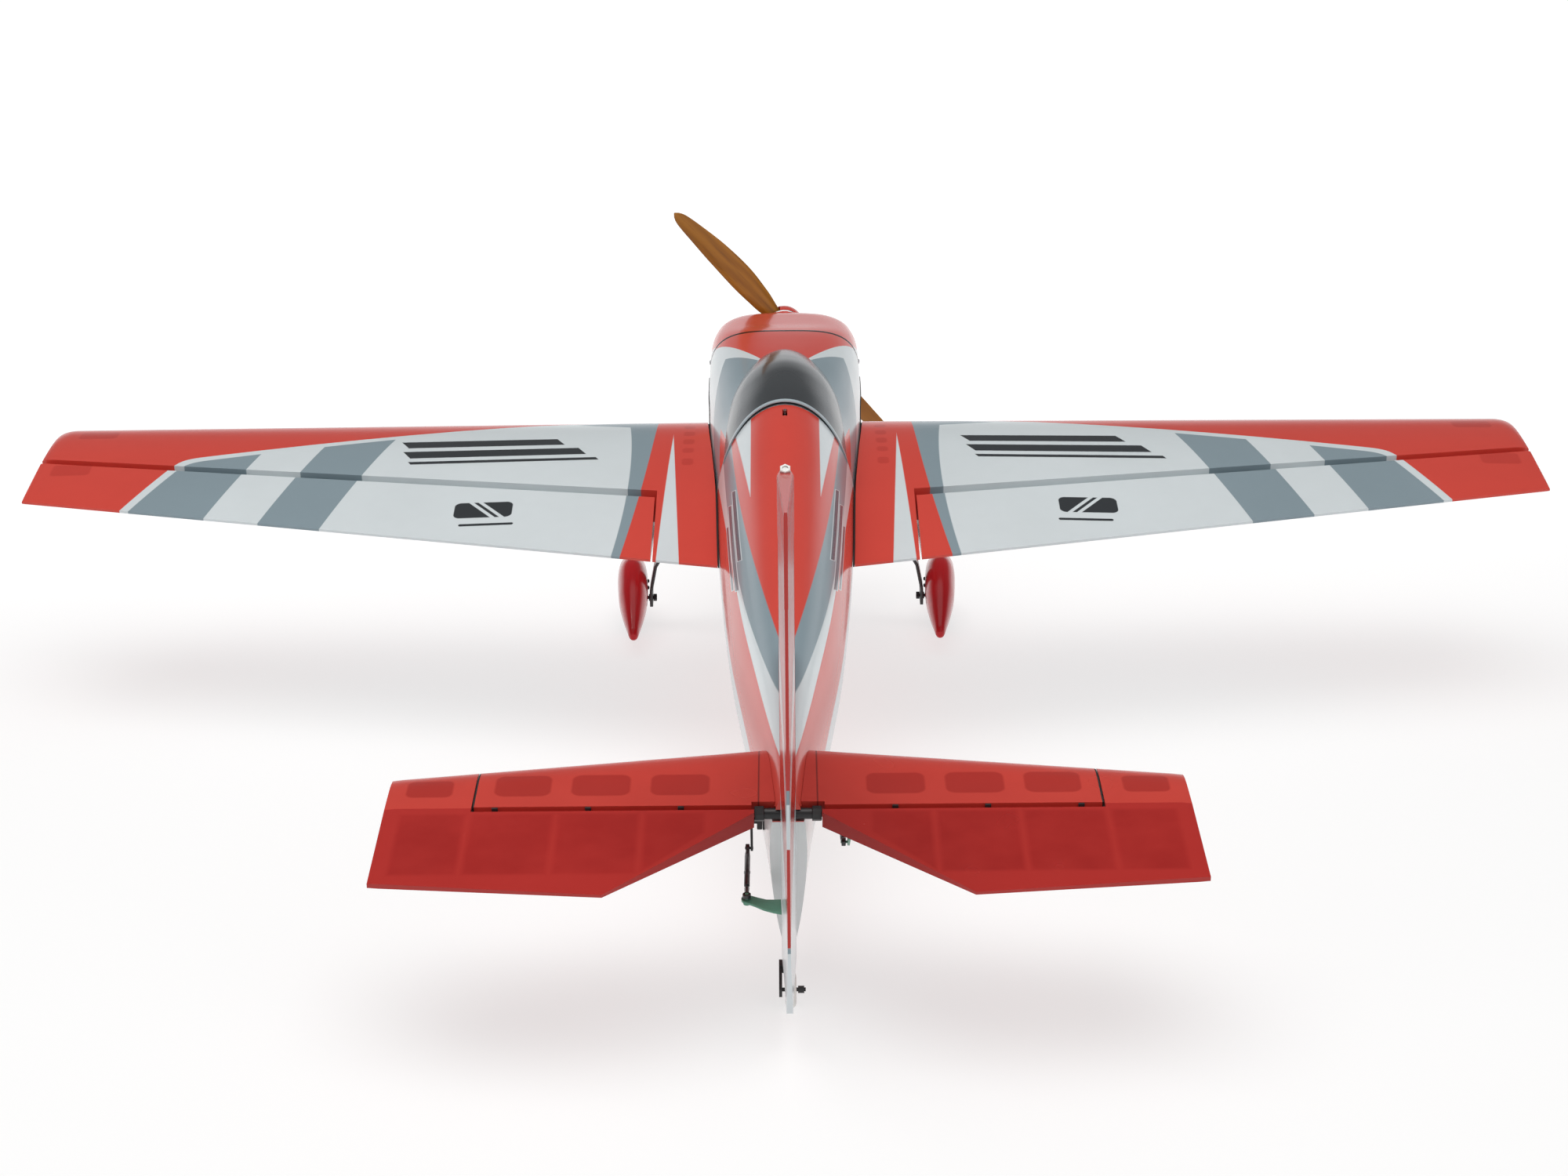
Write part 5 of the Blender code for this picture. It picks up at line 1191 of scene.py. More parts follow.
def servo_arm(name, body, node, pivot, ball, axis, out):
    """Moulded arm with a hub, screw and spare holes, and the ball stud at its tip."""
    pivot, ball, axis = Vector(pivot), Vector(ball), Vector(axis).normalized()
    run = (ball - pivot).normalized()
    wide = axis.cross(run).normalized()
    reach = (ball - pivot).length
    outline = []
    for k in range(13):
        a = math.pi / 2 + math.pi * k / 12
        outline.append((0.0048 * math.cos(a), 0.0048 * math.sin(a)))
    for k in range(9):
        a = -math.pi / 2 + math.pi * k / 8
        outline.append((reach + 0.0026 * math.cos(a), 0.0026 * math.sin(a)))
    rings = []
    for level, shrink in ((-0.001, 0.93), (-0.0008, 1.0), (0.0008, 1.0), (0.001, 0.93)):
        rings.append([pivot + run * a + wide * (b * shrink) + axis * level for a, b in outline])
    arm = loft(name, rings, "black_nylon")
    for share in (0.45, 0.62, 0.79):
        spot = pivot + run * (reach * share)
        drill(arm, spot - axis * 0.01, spot + axis * 0.01, 0.0007, sides=12)
    hub = turned("hub", pivot + axis * 0.0009, axis, [(0.0, 0.0038), (0.001, 0.0038), (0.0014, 0.0034)],
                 "black_nylon", 28)
    screw = turned("screw", pivot + axis * 0.0022, axis, [(0.0, 0.0019), (0.0007, 0.0019), (0.001, 0.0012)],
                   "steel", 20)
    stud = rod("stud", ball - axis * 0.0012, ball + axis * (out - 0.0004), STUD_R, "steel", 16)
    link = ball + axis * 0.0035
    show(join(arm, hub, screw, stud, brass_ball(link, axis)), body, "black_plastic", node)


def aileron_linkage(side, word):
    along, _ = hinge_axes()
    axis = Vector((side * along.x, along.y, 0.0))
    z, ahead = AIL_SERVO_Z, AIL_SERVO_AHEAD
    case = soften(slanted_box("aileron_servo_case_" + word, side, (ahead - 0.008, ahead + 0.023),
                              (-0.0245, -0.005), (z - 0.0065, z + 0.0065), "black_case"), 0.0007)
    cap = soften(slanted_box("cap", side, (ahead - 0.0078, ahead + 0.0228), (-0.0048, -0.001),
                             (z - 0.0063, z + 0.0063), "black_nylon"), 0.0007)
    shaft = rod("shaft", linkage_point(side, ahead, -0.004, z), linkage_point(side, ahead, 0.0018, z),
                SERVO_SHAFT_R, "brass", 25)
    show(join(case, cap, shaft), "airframe", "black_plastic", "aileron_servo_" + word)
    pivot = linkage_point(side, ahead, 0.0031, z)
    ball = linkage_point(side, ahead, 0.0031, z - ARM_LENGTH)
    servo_arm("aileron_arm_" + word, "aileron_servo_arm_" + word, "aileron_servo_arm_" + word, pivot, ball,
              axis, 0.0058)
    start = linkage_point(side, ahead, 0.0065, z - ARM_LENGTH)
    end = linkage_point(side, 0.0, 0.0065, -ARM_LENGTH)
    push_rod("aileron_rod_" + word, "aileron_pushrod_" + word, "aileron_pushrod_" + word, start, end, axis)
    skin = -wing_z(AIL_SERVO_X, aileron_hinge(AIL_SERVO_X) + 0.018) - 0.001
    outline = [(-0.015, skin), (-0.033, skin + 0.0003), (-0.033, skin - 0.0015),
               (-0.015, -ARM_LENGTH * 0.62), (0.0, -ARM_LENGTH - 0.0035), (0.0025, -ARM_LENGTH - 0.0025),
               (0.0035, -ARM_LENGTH), (0.0025, -ARM_LENGTH + 0.0025), (0.0, -ARM_LENGTH + 0.0035)]
    rings = [[linkage_point(side, a, out, h) for a, h in outline] for out in (0.0095, 0.0115)]
    horn = soften(loft("aileron_horn_plate_" + word, rings, "glass_epoxy"), 0.0002)
    stud = rod("stud", linkage_point(side, 0.0, 0.0042, -ARM_LENGTH),
               linkage_point(side, 0.0, 0.0105, -ARM_LENGTH), STUD_R, "steel", 16)
    ball = brass_ball(linkage_point(side, 0.0, 0.0065, -ARM_LENGTH), axis)
    show(join(horn, stud, ball), "aileron_" + word, "glass_epoxy", "aileron_horn_" + word)


# ---------------------------------------------------------------- tail
def tail_half(y):
    share = (y - ELEV_HINGE_Y) / (ELEV_TE_Y - ELEV_HINGE_Y)
    return TAIL_HALF_HINGE + (TAIL_HALF_TE - TAIL_HALF_HINGE) * max(0.0, min(1.0, share))


def stab_le(x):
    return STAB_LE_ROOT_Y + STAB_LE_SLOPE * (x - STAB_ROOT_X)


def elevator_te(x):
    share = (x - ELEV_TE_X) / (ELEV_TIP_X - ELEV_TE_X)
    return ELEV_TE_Y + (ELEV_TIP_TE_Y - ELEV_TE_Y) * share


# Rounded leading edge of the tail surfaces: distance behind the edge, share of the half thickness.
NOSE_LENGTH = 0.03
NOSE = ((NOSE_LENGTH, 1.0), (0.024, 0.985), (0.018, 0.92), (0.012, 0.8), (0.007, 0.635),
        (0.004, 0.49), (0.002, 0.35), (0.0007, 0.2))
STAB_RIBS = (0.062, 0.111, 0.1265, 0.1735, 0.19, 0.235)
ELEV_RIBS = (0.066, 0.115, 0.183, 0.252)


def sag(x, y, ribs, front, back):
    """How far the film dips between ribs, from 0 at the wood to 1 mid-bay."""
    inside = 0.0
    for low, high in zip(ribs, ribs[1:]):
        if low < x < high:
            inside = math.sin(math.pi * (x - low) / (high - low)) ** 0.6
    if not front < y < back:
        return 0.0
    return inside * math.sin(math.pi * (y - front) / (back - front)) ** 0.5


def around(side, x, upper, edge, shrink=1.0):
    """Ring of a tail surface from its upper half (rows of y and height) and its edge at mid-height."""
    return ([(side * x, y, STAB_Z + z * shrink) for y, z in upper] + [(side * x, edge, STAB_Z)]
            + [(side * x, y, STAB_Z - z * shrink) for y, z in upper[::-1]])


def tail_ring(side, x, le, depth=0.0, ribs=()):
    upper = []
    for t in (0.0, 0.12, 0.25, 0.4, 0.55, 0.7, 0.85):
        y = STAB_BACK_Y + (le + NOSE_LENGTH - STAB_BACK_Y) * t
        upper.append((y, TAIL_HALF_HINGE - depth * sag(x, y, ribs, le + 0.028, STAB_BACK_Y - 0.006)))
    return around(side, x, upper + [(le + d, TAIL_HALF_HINGE * s) for d, s in NOSE], le)


def elevator_ring(side, x, te):
    hinge = ELEV_HINGE_Y
    front = min(hinge + BEVEL * TAIL_HALF_HINGE, te - 0.004)
    upper = []
    for t in (0.0, 0.06, 0.14, 0.25, 0.4, 0.55, 0.7, 0.84, 0.93, 1.0):
        y = te + (front - te) * t
        upper.append((y, tail_half(y) - FILM_SAG * sag(x, y, ELEV_RIBS, hinge + 0.018, te - 0.024)))
    return around(side, x, upper, hinge)


def tailplane_pieces():
    for side, word in SIDES:
        rings = [tail_ring(side, x, stab_le(x), FILM_SAG, STAB_RIBS)
                 for x in steps(STAB_ROOT_X, STAB_END_X, 0.008)]
        stab = loft("stabilizer_skin_" + word, rings, "tail_film")
        combine(stab, shell("tail_side", GAP, 0.8, 0.96, count=64))
        low, high = sorted((side * 0.0, side * 0.029))
        cut_box(stab, (low, ELEV_HINGE_Y - 0.0066, 0.0), (high, 1.0, 0.1))
        drill(stab, (0, STAB_TUBE_Y, STAB_Z), (side * 0.121, STAB_TUBE_Y, STAB_Z), 0.0038)
        show(stab, "airframe", "tail_film", "stabilizer_" + word)

        rings = [elevator_ring(side, x, ELEV_ROOT_TE_Y + (ELEV_TE_Y - ELEV_ROOT_TE_Y)
                               * (x - ELEV_ROOT_X) / (ELEV_TE_X - ELEV_ROOT_X))
                 for x in steps(ELEV_ROOT_X, ELEV_TE_X, 0.008)]
        rings += [elevator_ring(side, x, elevator_te(x)) for x in steps(ELEV_TE_X, 0.252, 0.008)[1:]]
        elevator = loft("elevator_skin_" + word, rings, "tail_film")
        rings = []
        for x in steps(STAB_END_X + 0.002, ELEV_TIP_X, 0.009):
            le, te = stab_le(x), elevator_te(x)
            shrink = 1.0 if x < ELEV_TIP_X - 0.001 else 0.86
            upper = []
            for t in (0.0, 0.1, 0.25, 0.4, 0.55, 0.7, 0.85, 1.0):
                y = te + (ELEV_HINGE_Y - te) * t
                upper.append((y, tail_half(y)))
            for t in (0.35, 0.7):
                upper.append((ELEV_HINGE_Y + (le + NOSE_LENGTH - ELEV_HINGE_Y) * t, TAIL_HALF_HINGE))
            upper += [(le + d, TAIL_HALF_HINGE * s) for d, s in NOSE]
            rings.append(around(side, x, upper, le, shrink))
        combine(elevator, loft("balance", rings), 'UNION')
        show(elevator, "elevator", "tail_film", "elevator_" + word, angle=25)

        # Three black pin hinges stand in the hinge gap.
        for number, at in enumerate((0.2325, 0.1585, 0.085)):
            knuckle = soften(box("elevator_pin_hinge_%s_%d" % (word, number + 1),
                                 (side * at - 0.0024, STAB_BACK_Y - 0.001, STAB_Z - 0.002),
                                 (side * at + 0.0024, ELEV_HINGE_Y - 0.0002, STAB_Z + 0.0067),
                                 "black_nylon"), 0.0003)
            show(knuckle, "airframe", "black_plastic")
        # The fixed tip rib ahead of the balance is edged in black.
        rings = [tail_ring(side, STAB_END_X + out, stab_le(STAB_END_X + out) + 0.0004)
                 for out in (0.0001, 0.0011)]
        show(loft("stab_tip_edge_" + word, rings, "lead_black_and_gap_shade"), "airframe", "black_plastic")

    joiner = rod("elevator_joiner_bar", (-0.0266, ELEV_HINGE_Y, STAB_Z), (0.0266, ELEV_HINGE_Y, STAB_Z),
                 0.0045, "black_nylon", 32)
    for side in (1, -1):
        combine(joiner, turned("end_block", (side * 0.019, ELEV_HINGE_Y, STAB_Z), (side, 0, 0),
                               disc(0.0077, 0.0061, 0.0005, 0.0005), sides=8, phase=math.pi / 8), 'UNION')
    show(joiner, "elevator", "black_plastic", "elevator_joiner")


def fin_le(z):
    return FIN_TOP_LE_Y + FIN_LE_SLOPE * (z - FIN_TOP_Z)


def fin_piece():
    nose = [(0.034, 1.0), (0.026, 0.97), (0.018, 0.88), (0.012, 0.75), (0.007, 0.58), (0.0035, 0.4),
            (0.0012, 0.22)]
    rings = []
    for z in steps(0.045, FIN_TOP_Z, 0.012):
        le = fin_le(z)
        half = [(HULL_END_Y, 1.0)] + [(le + d, s) for d, s in nose]
        rings.append([(FIN_HALF * s, y, z) for y, s in half] + [(0, le, z)]
                     + [(-FIN_HALF * s, y, z) for y, s in half[::-1]])
    fin = loft("fin_skin", rings, "fin_film")
    combine(fin, shell("fin_seat", GAP, 0.6, 0.96, pitch=0.02, count=96))
    show(fin, "airframe", "tail_film", "fin")


def rudder_half(y):
    share = (y - RUD_HINGE_Y) / (RUD_TE_Y - RUD_HINGE_Y)
    return FIN_HALF + (TE_HALF - FIN_HALF) * max(0.0, min(1.0, share))


def rudder_piece():
    front = RUD_HINGE_Y + BEVEL * FIN_HALF * 1.25
    rings = []
    # Rows of trailing edge, its height and the hinge line's height: raked below, upright above.
    foot, knee = (1.044, -0.0755, RUD_BOTTOM_Z), (RUD_TE_Y, 0.002, 0.002)
    levels = [tuple(a + (b - a) * t for a, b in zip(foot, knee)) for t in steps(0.0, 1.0, 0.2)]
    levels += [(RUD_TE_Y, z, z) for z in steps(0.002, RUD_HORN_Z + 0.001, 0.014)[1:]]
    for te, z_te, z_hinge in levels:
        side = []
        for t in (0.0, 0.08, 0.2, 0.4, 0.6, 0.8, 0.93, 1.0):
            y = te + (front - te) * t
            z = z_hinge + (z_te - z_hinge) * (y - RUD_HINGE_Y) / (te - RUD_HINGE_Y)
            dip = 0.0003 * math.sin(math.pi * t) if 0.1 < t < 0.9 else 0.0
            side.append((rudder_half(y) - dip, y, z))
        rings.append(side + [(0, RUD_HINGE_Y, z_hinge)] + [(-a, b, c) for a, b, c in side[::-1]])
    rudder = loft("rudder_skin", rings, "rudder_film")
    rings = []
    for t, thin in ((0.0, 1.0), (0.5, 1.0), (0.94, 1.0), (1.0, 0.8)):
        le = fin_le(RUD_HORN_Z) + 0.035 * t
        side = []
        for y, half in [(RUD_TE_Y + 0.0001, TE_HALF), (RUD_HINGE_Y, FIN_HALF)] + [
                (le + d, FIN_HALF * s) for d, s in ((0.02, 1.0), (0.014, 0.88), (0.009, 0.72),
                                                    (0.005, 0.52), (0.0015, 0.3))]:
            top = RUD_TOP_Z - RUD_TOP_SLOPE * (RUD_TE_Y - y)
            side.append(((half + 0.0002) * thin, y, RUD_HORN_Z + (top - RUD_HORN_Z) * t))
        rings.append(side + [(-a, b, c) for a, b, c in side[::-1]])
    combine(rudder, loft("rudder_balance", rings), 'UNION')
    show(rudder, "rudder", "rudder_film", "rudder", angle=25)


def rudder_nut():
    """Lock nut with a dark eye, on a black ring and pin that stand on the rudder's sloping top; the ring is
    painted shade under the nut.
    """
    tip_y = fin_le(RUD_HORN_Z) + 0.051
    tip_z = RUD_TOP_Z - RUD_TOP_SLOPE * (RUD_TE_Y - tip_y)
    lean = Vector((0, -RUD_TOP_SLOPE, 1)).normalized()
    foot = Vector((0, tip_y, tip_z)) + lean * GAP
    up = Vector((0, 0.45, 0.89)).normalized()
    nut = turned("rudder_lock_nut", foot + up * 0.0006, up,
                 [(0.0, 0.004), (0.0003, 0.0044), (0.003, 0.0044), (0.0035, 0.0038)], "white_nylon", 6,
                 math.pi / 6)
    drill(nut, foot + up * 0.0024, foot + up * 0.02, 0.0023, sides=24)
    pin = rod("pin", foot, foot + up * 0.0031, 0.0021, "black_nylon", 16)
    # Painted shade: a black ring under the nut stands for its shadow on the rudder top.
    shade_ring = rod("shade_ring", foot - up * 0.0006, foot + up * 0.0008, 0.0039, "black_nylon", 24)
    show(join(nut, shade_ring, pin), "rudder", "white_plastic", "rudder_top_nut")


def rudder_linkage():
    case = servo_case("rudder_servo_case", (0.003, 0.8637, RUD_SERVO_Z - SERVO_HALF),
                      (0.0256, 0.8923, RUD_SERVO_Z + SERVO_HALF))
    case.append(rod("shaft", (0.0246, RUD_SERVO_Y, RUD_SERVO_Z), (0.0288, RUD_SERVO_Y, RUD_SERVO_Z),
                    SERVO_SHAFT_R, "brass", 25))
    show(join(*case), "airframe", "black_plastic", "rudder_servo")
    x = RUD_LINK_X - 0.0035
    servo_arm("rudder_arm", "rudder_servo_arm", "rudder_servo_arm", (x, RUD_SERVO_Y, RUD_SERVO_Z),
              (x, RUD_SERVO_Y, RUD_SERVO_Z - ARM_LENGTH), (1, 0, 0), 0.006)
    start = (RUD_LINK_X, RUD_SERVO_Y, RUD_SERVO_Z - ARM_LENGTH)
    end = (RUD_LINK_X, RUD_HINGE_Y + 0.012, RUD_SERVO_Z - ARM_LENGTH)
    push_rod("rudder_rod", "rudder_pushrod", "rudder_pushrod", start, end, (1, 0, 0), (0, 0, 1))
    level = RUD_SERVO_Z - ARM_LENGTH - 0.0034
    outline = ((0.0062, 0.96), (0.012, 0.9602), (0.018, 0.96), (0.025, 0.9568), (0.032, 0.953),
               (0.0352, 0.9532), (0.0372, 0.9548), (0.038, 0.9575), (0.0378, 0.9605), (0.036, 0.9635),
               (0.032, 0.965), (0.0262, 0.969), (0.02, 0.974), (0.012, 0.978), (0.0058, 0.98))
    horn = soften(prism("rudder_horn_plate", outline, level - 0.002, level, 'z', "glass_epoxy"), 0.0003)
    pin = turned("pin", (RUD_LINK_X, RUD_HINGE_Y + 0.012, level - 0.003), (0, 0, 1),
                 [(0.0, 0.0016), (0.0008, 0.002), (0.0018, 0.002), (0.005, 0.0012)], "brass", 20)
    ball = brass_ball(end, (0, 0, 1))
    nut = turned("nut", (RUD_LINK_X, end[1], level - 0.0046), (0, 0, 1),
                 [(0.0, 0.0022), (0.0003, 0.0029), (0.0026, 0.0031)], "black_nylon", 24)
    show(join(horn, pin, ball, nut), "rudder", "glass_epoxy", "rudder_horn")


def elevator_linkage():
    # The servo is made for the port side and then mirrored to starboard.
    case = servo_case("elevator_servo_case", (0.004, 0.8392, ELEV_SERVO_Z - SERVO_HALF),
                      (0.03, 0.8678, ELEV_SERVO_Z + SERVO_HALF))
    case.append(rod("shaft", (0.029, ELEV_SERVO_Y, ELEV_SERVO_Z), (0.0392, ELEV_SERVO_Y, ELEV_SERVO_Z),
                    SERVO_SHAFT_R, "brass", 25))
    case = join(*case)
    for vertex in case.data.vertices:
        vertex.co.x = -vertex.co.x
    case.data.flip_normals()
    show(case, "airframe", "black_plastic", "elevator_servo")
    x = -(ELEV_LINK_X - 0.0035)
    servo_arm("elevator_arm", "elevator_servo_arm", "elevator_servo_arm", (x, ELEV_SERVO_Y, ELEV_SERVO_Z),
              (x, ELEV_SERVO_Y, ELEV_SERVO_Z - ARM_LENGTH), (-1, 0, 0), 0.0058)
    start = (-ELEV_LINK_X, ELEV_SERVO_Y, ELEV_SERVO_Z - ARM_LENGTH)
    end = (-ELEV_LINK_X, ELEV_HINGE_Y, STAB_Z - ARM_LENGTH)
    push_rod("elevator_rod", "elevator_pushrod", "elevator_pushrod", start, end, (1, 0, 0))
    skin = STAB_Z - TAIL_HALF_HINGE - 0.0003
    y, low = ELEV_HINGE_Y, STAB_Z - ARM_LENGTH
    outline = ((y + 0.008, skin), (y + 0.026, skin + 0.0007), (y + 0.026, skin - 0.0015),
               (y + 0.012, low + 0.006), (y, low - 0.0035), (y - 0.0025, low - 0.0025),
               (y - 0.0035, low), (y - 0.0025, low + 0.0025), (y, low + 0.0035))
    horn = soften(prism("elevator_horn_plate", outline, -0.049, -0.047, 'x', "glass_epoxy"), 0.0002)
    stud = rod("stud", (-0.0417, y, low), (-0.048, y, low), STUD_R, "steel", 16)
    show(join(horn, stud, brass_ball((-ELEV_LINK_X, y, low), (1, 0, 0))), "elevator", "glass_epoxy",
         "elevator_horn")


# ---------------------------------------------------------------- undercarriage
def gear_legs():
    """One strip from wheel to wheel; each row of the path is x, z and half width."""
    path = ((0.0, -0.1048, 0.0225), (0.046, -0.1048, 0.0225), (0.062, -0.109, 0.021),
            (0.118, -0.15, 0.015), (0.143, -0.174, 0.013), (0.151, -0.189, 0.012),
            (LEG_X - 0.0003, -0.219, 0.0115), (LEG_X, -0.224, 0.0112), (LEG_X, -0.24, 0.011))
    path = [(-x, z, w) for x, z, w in path[:0:-1]] + list(path)
    rings = []
    for i, (x, z, wide) in enumerate(path):
        before, after = path[max(0, i - 1)], path[min(len(path) - 1, i + 1)]
        run = Vector((after[0] - before[0], 0, after[1] - before[1])).normalized()
        normal = Vector((-run.z, 0, run.x)) * (LEG_T / 2)
        ring = []
        for s, t in ((1, 0.55), (0.965, 1), (-0.965, 1), (-1, 0.55), (-1, -0.55), (-0.965, -1),
                     (0.965, -1), (1, -0.55)):
            ring.append(Vector((x, AXLE_Y + s * wide, z)) + normal * t)
        rings.append(ring)
    gear = loft("gear_legs", rings, "carbon_twill")
    for side in (1, -1):
        drill(gear, (side * 0.14, AXLE_Y, AXLE_Z), (side * 0.17, AXLE_Y, AXLE_Z), 0.0024)
    show(gear, "airframe", "carbon", "main_gear", angle=40)


def wheel_pieces():
    for side, word in SIDES:
        def on_axle(name, x, profile, look, sides, phase=0.0, closed=False):
            base = (side * x, AXLE_Y, AXLE_Z)
            return turned(name, base, (side, 0, 0), profile, look, sides, phase, closed)

        inner = LEG_X - LEG_T / 2 - GAP - 0.004
        length = TRACK_X + 0.01 - inner
        bolt = on_axle("axle_bolt_" + word, inner,
                       [(0.0, 0.0036), (0.0004, 0.0042), (0.0036, 0.0042), (0.004, 0.0038)],
                       "black_oxide", 6)
        shank = on_axle("shank", inner + 0.0038,
                        [(0.0, 0.002), (length - 0.0044, 0.002), (length - 0.0038, 0.0016)], "steel", 24)
        collar = on_axle("collar", inner + 0.0082, [(0.0, 0.004), (0.0012, 0.004)], "brass", 28)
        show(join(bolt, shank, collar), "airframe", "steel", "axle_" + word)
        half_rim = [(0.0, 0.0048), (0.0, 0.006), (0.0022, 0.0068), (0.0026, 0.014), (0.0004, 0.016),
                    (0.0004, 0.0172), (0.0015, 0.018)]
        rim = on_axle("wheel_rim_" + word, TRACK_X - RIM_WIDTH / 2,
                      half_rim + [(RIM_WIDTH - a, r) for a, r in half_rim[::-1]], "white_nylon", 60)
        drill(rim, (side * 0.16, AXLE_Y, AXLE_Z), (side * 0.2, AXLE_Y, AXLE_Z), 0.0023)
        for a in angles(6):
            y, z = AXLE_Y + 0.0105 * math.cos(a), AXLE_Z + 0.0105 * math.sin(a)
            drill(rim, (side * 0.16, y, z), (side * 0.2, y, z), 0.0028)
        show(rim, "wheel_" + word, "white_plastic", "wheel_" + word)
        w = TYRE_W / 2
        profile = [(-w * 0.55, 0.0183), (-w * 0.86, 0.02), (-w, 0.024), (-w, 0.0285), (-w * 0.92, 0.0312),
                   (-w * 0.74, 0.0333)]
        groove = [(-w * 0.45, TYRE_R), (-w * 0.27, TYRE_R), (-w * 0.25, TYRE_R - 0.0007),
                  (-w * 0.15, TYRE_R - 0.0007), (-w * 0.13, TYRE_R)]
        profile += groove
        profile += [(-a, r) for a, r in profile[::-1]]
        tyre = on_axle("tyre_tread_" + word, TRACK_X, profile, "tyre_rubber", 84, ATTITUDE, True)
        show(tyre, "wheel_" + word, "rubber", "tyre_" + word)
        pant_piece(side, word)


def pant_piece(side, word):
    """Teardrop fairing with a wheel well and two clamp screws."""
    rows = ((-0.072, 0.002, 0.008, 0.001), (-0.068, 0.0075, 0.017, -0.005),
            (-0.055, 0.013, 0.028, -0.01), (-0.03, 0.0168, 0.04, -0.013),
            (0.0, 0.0175, 0.046, -0.014), (0.035, 0.0165, 0.041, -0.012),
            (0.07, 0.0125, 0.03, -0.007), (0.1, 0.0074, 0.018, -0.002),
            (0.114, 0.0046, 0.012, 0.001), (0.116, 0.0026, 0.01, 0.003))
    rings = []
    levels = [-0.072, -0.0712, -0.07] + steps(-0.068, 0.112, 0.0045) + [0.1145, 0.116]
    for dy in levels:
        _, half, top, bottom = station(rows, dy)
        mid = (top + bottom) / 2
        centre = side * (TRACK_X - PANT_TOE * dy)
        ring = []
        for a in angles(56):
            across, up = (math.copysign(abs(v) ** 0.9, v) for v in (math.cos(a), math.sin(a)))
            ring.append((centre + half * across, AXLE_Y + dy, AXLE_Z + mid + (top - mid) * up))
        rings.append(ring)
    pant = loft("pant_shell_" + word, rings, "pant_paint")
    drill(pant, (side * (TRACK_X - WELL_HALF), AXLE_Y, AXLE_Z),
          (side * (TRACK_X + WELL_HALF), AXLE_Y, AXLE_Z), WELL_R, sides=96)
    drill(pant, (side * 0.15, AXLE_Y, AXLE_Z), (side * 0.17, AXLE_Y, AXLE_Z), 0.0024)
    show(pant, "airframe", "pant_paint", "wheel_pant_" + word, angle=40)
    for number, (dy, dz) in enumerate(((0.009, 0.017), (-0.009, 0.017))):
        _, half, top, bottom = station(rows, dy)
        spread = 1 - ((dz - (top + bottom) / 2) / ((top - bottom) / 2)) ** 2
        skin = TRACK_X - PANT_TOE * dy - half * math.sqrt(max(0.0, spread)) ** 0.9
        head = turned("pant_screw_%s_%d" % (word, number + 1),
                      (side * (skin + 0.0006), AXLE_Y + dy, AXLE_Z + dz), (-side, 0, 0),
                      [(0.0, 0.0022), (0.0014, 0.0022), (0.0022, 0.0016), (0.0024, 0.0008)],
                      "black_oxide", 20)
        drill(head, (side * (skin - 0.001), AXLE_Y + dy, AXLE_Z + dz),
              (side * (skin - 0.006), AXLE_Y + dy, AXLE_Z + dz), 0.0008, sides=6)
        show(head, "airframe", "steel")


def tail_gear_pieces():
    axle = (-0.001, TAIL_AXLE_Y, TAIL_AXLE_Z)
    half = TAIL_TYRE_W / 2

    def wheel(name, outline, look, sides):
        """Turned part with the same outline on both sides, given as shares of the half width."""
        profile = [(-half * share, radius) for share, radius in outline]
        return turned(name, axle, (1, 0, 0), profile + [(-a, r) for a, r in profile[::-1]], look, sides,
                      ATTITUDE, True)

    hub = wheel("tail_wheel_hub", ((1, 0.0019), (1, 0.004), (0.55, 0.0046), (0.5, 0.008)),
                "white_nylon", 40)
    tyre = wheel("tyre", ((0.6, 0.0081), (1, 0.0092), (1, 0.0112), (0.82, 0.0133), (0.5, TAIL_TYRE_R)),
                 "tyre_rubber", 72)
    show(join(hub, tyre), "tail_wheel", "rubber", "tail_wheel")


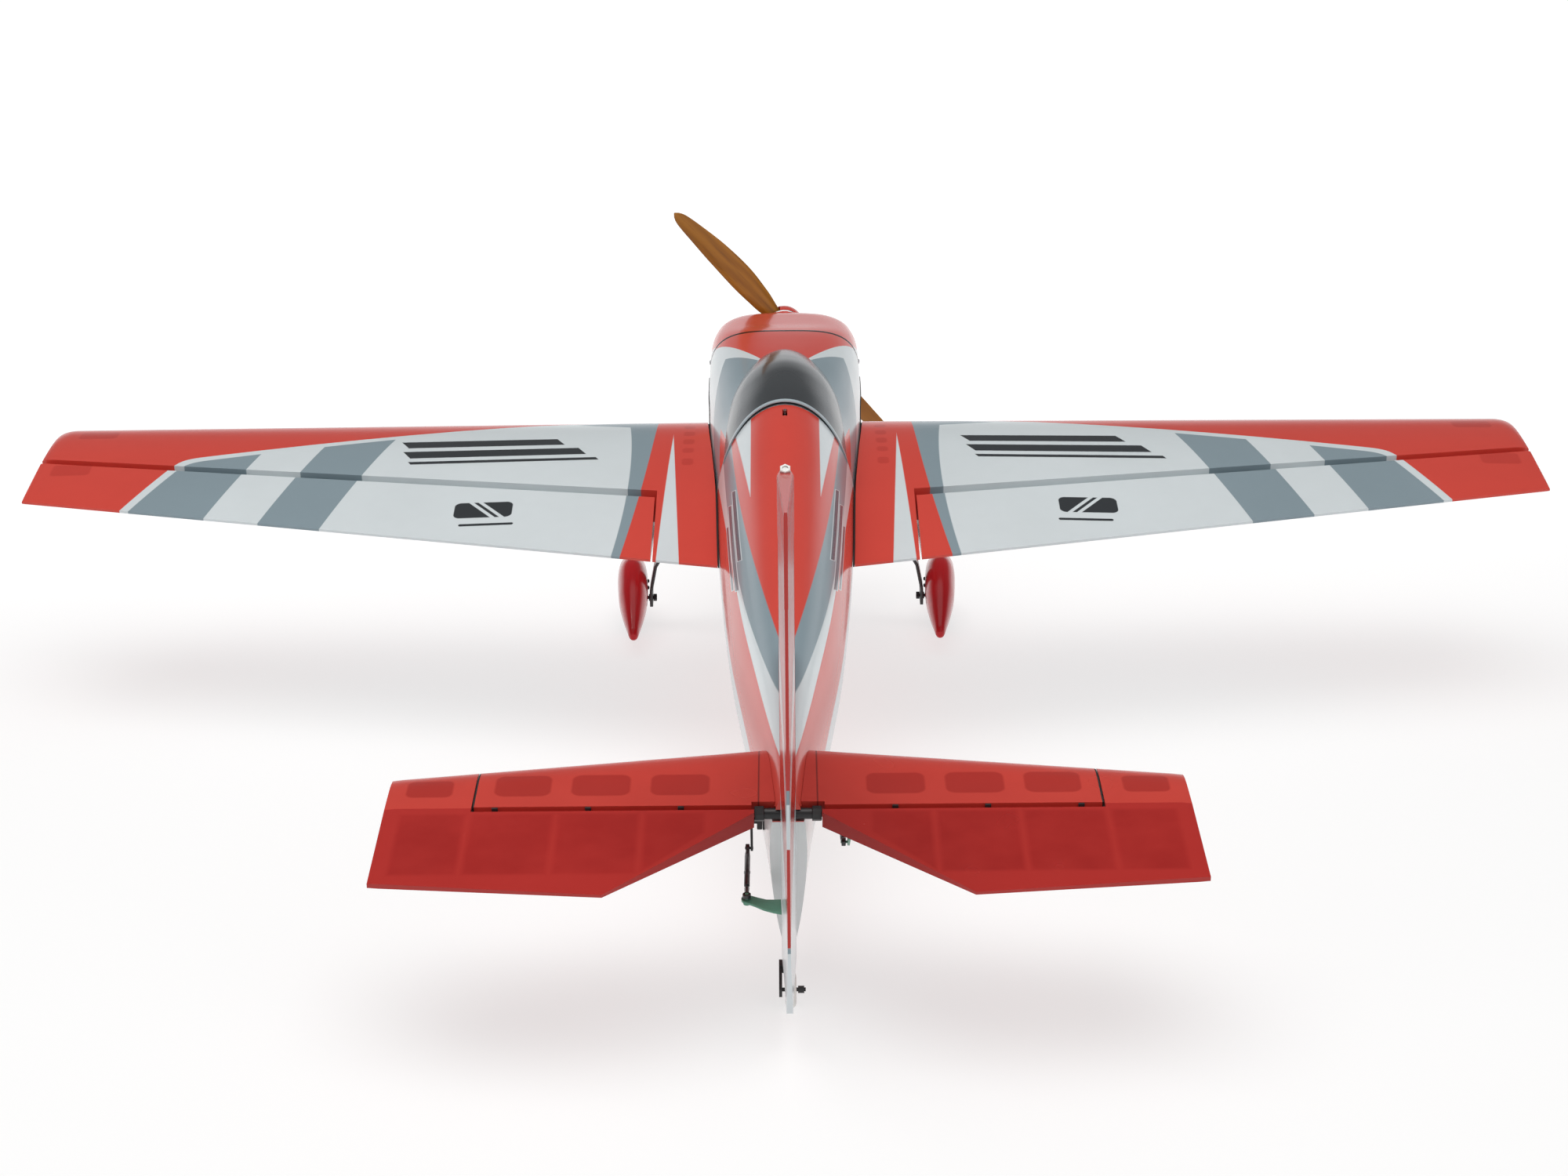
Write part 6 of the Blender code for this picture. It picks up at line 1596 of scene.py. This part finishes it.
# ---------------------------------------------------------------- equipment under the hatch
def equipment_pieces():
    tray = box("battery_tray_board", (-0.036, -0.09, -0.0226), (0.036, 0.104, -0.0196), "plywood")
    for y in (-0.07, -0.02, 0.03, 0.08):
        for side in (1, -1):
            low, high = sorted((side * 0.027, side * 0.03))
            cut_box(tray, (low, y - 0.01, -0.03), (high, y + 0.01, -0.01))
    show(tray, "airframe", "plywood", "battery_tray")
    shelf = box("receiver_shelf_board", (-0.04, 0.15, -0.0263), (0.04, 0.23, -0.0233), "plywood")
    for side in (1, -1):
        drill(shelf, (side * 0.028, 0.19, -0.04), (side * 0.028, 0.19, 0.0), 0.006)
    show(shelf, "airframe", "plywood", "receiver_shelf")

    pack = soften(box("battery_pack", (-0.023, -0.078, -0.0193), (0.023, 0.06, 0.024),
                      "battery_wrap"), 0.0035, 4)
    strap = []
    for y in (-0.045, 0.025):
        for low, high in (((-0.0238, y, 0.0238), (0.0238, y + 0.016, 0.0248)),
                          ((-0.0244, y, -0.019), (-0.0232, y + 0.016, 0.0246)),
                          ((0.0232, y, -0.019), (0.0244, y + 0.016, 0.0246))):
            strap.append(box("strap", low, high, "black_case", 0.0003))
    for side, look in ((1, "lead_black_and_gap_shade"), (-1, "cowl_paint")):
        strap.append(turned("lead", (side * 0.008, 0.059, 0.01), (0, 1, 0),
                            [(0.0, 0.0022), (0.01, 0.0022)], look, 20))
    plug = soften(box("plug", (-0.012, 0.068, 0.004), (0.012, 0.086, 0.016), "black_nylon"), 0.001)
    show(join(pack, plug, *strap), "airframe", "battery_wrap", "battery")

    unit = box("speed_controller_case", (-0.016, -0.084, -0.037), (0.016, -0.024, -0.0229),
               "black_case", 0.0012)
    fins = [box("fin", (-0.013 + 0.0032 * k, -0.08, -0.0376), (-0.0118 + 0.0032 * k, -0.03, -0.0364),
                "aluminium") for k in range(8)]
    show(join(unit, *fins), "airframe", "black_plastic", "speed_controller")
    radio = box("receiver_case", (-0.013, 0.17, -0.023), (0.013, 0.215, -0.01), "white_nylon", 0.0012)
    extras = [box("pins", (-0.011, 0.213, -0.0195), (0.011, 0.2156, -0.0135), "black_nylon")]
    for k in range(7):
        extras.append(box("pin", (-0.0096 + 0.003 * k, 0.215, -0.017),
                          (-0.0088 + 0.003 * k, 0.2185, -0.0162), "steel"))
    show(join(radio, *extras), "airframe", "white_plastic", "receiver")


CARRIED = {
    "firewall": "plywood", "motor_mount": "aluminium", "wing_tube": "carbon_twill",
    "stabilizer_tube": "carbon_twill", "tail_gear_leaf": "aluminium", "tail_fork": "black_case",
    "hatch_latch": "steel",
}


def carried_over():
    """CAD nodes that keep their shape get a finished material in each slot."""
    for node, look in CARRIED.items():
        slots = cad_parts[node].data.materials
        if not slots:
            slots.append(look_of(look))
        for index in range(len(slots)):
            slots[index] = look_of(look)


camera()
sky()
lamps()
floor()
fuselage_pieces()
cowl_pieces()
propeller()
spinner_pieces()
motor_pieces()
wing_pieces()
tailplane_pieces()
fin_piece()
rudder_piece()
rudder_nut()
rudder_linkage()
elevator_linkage()
gear_legs()
wheel_pieces()
tail_gear_pieces()
equipment_pieces()
carried_over()
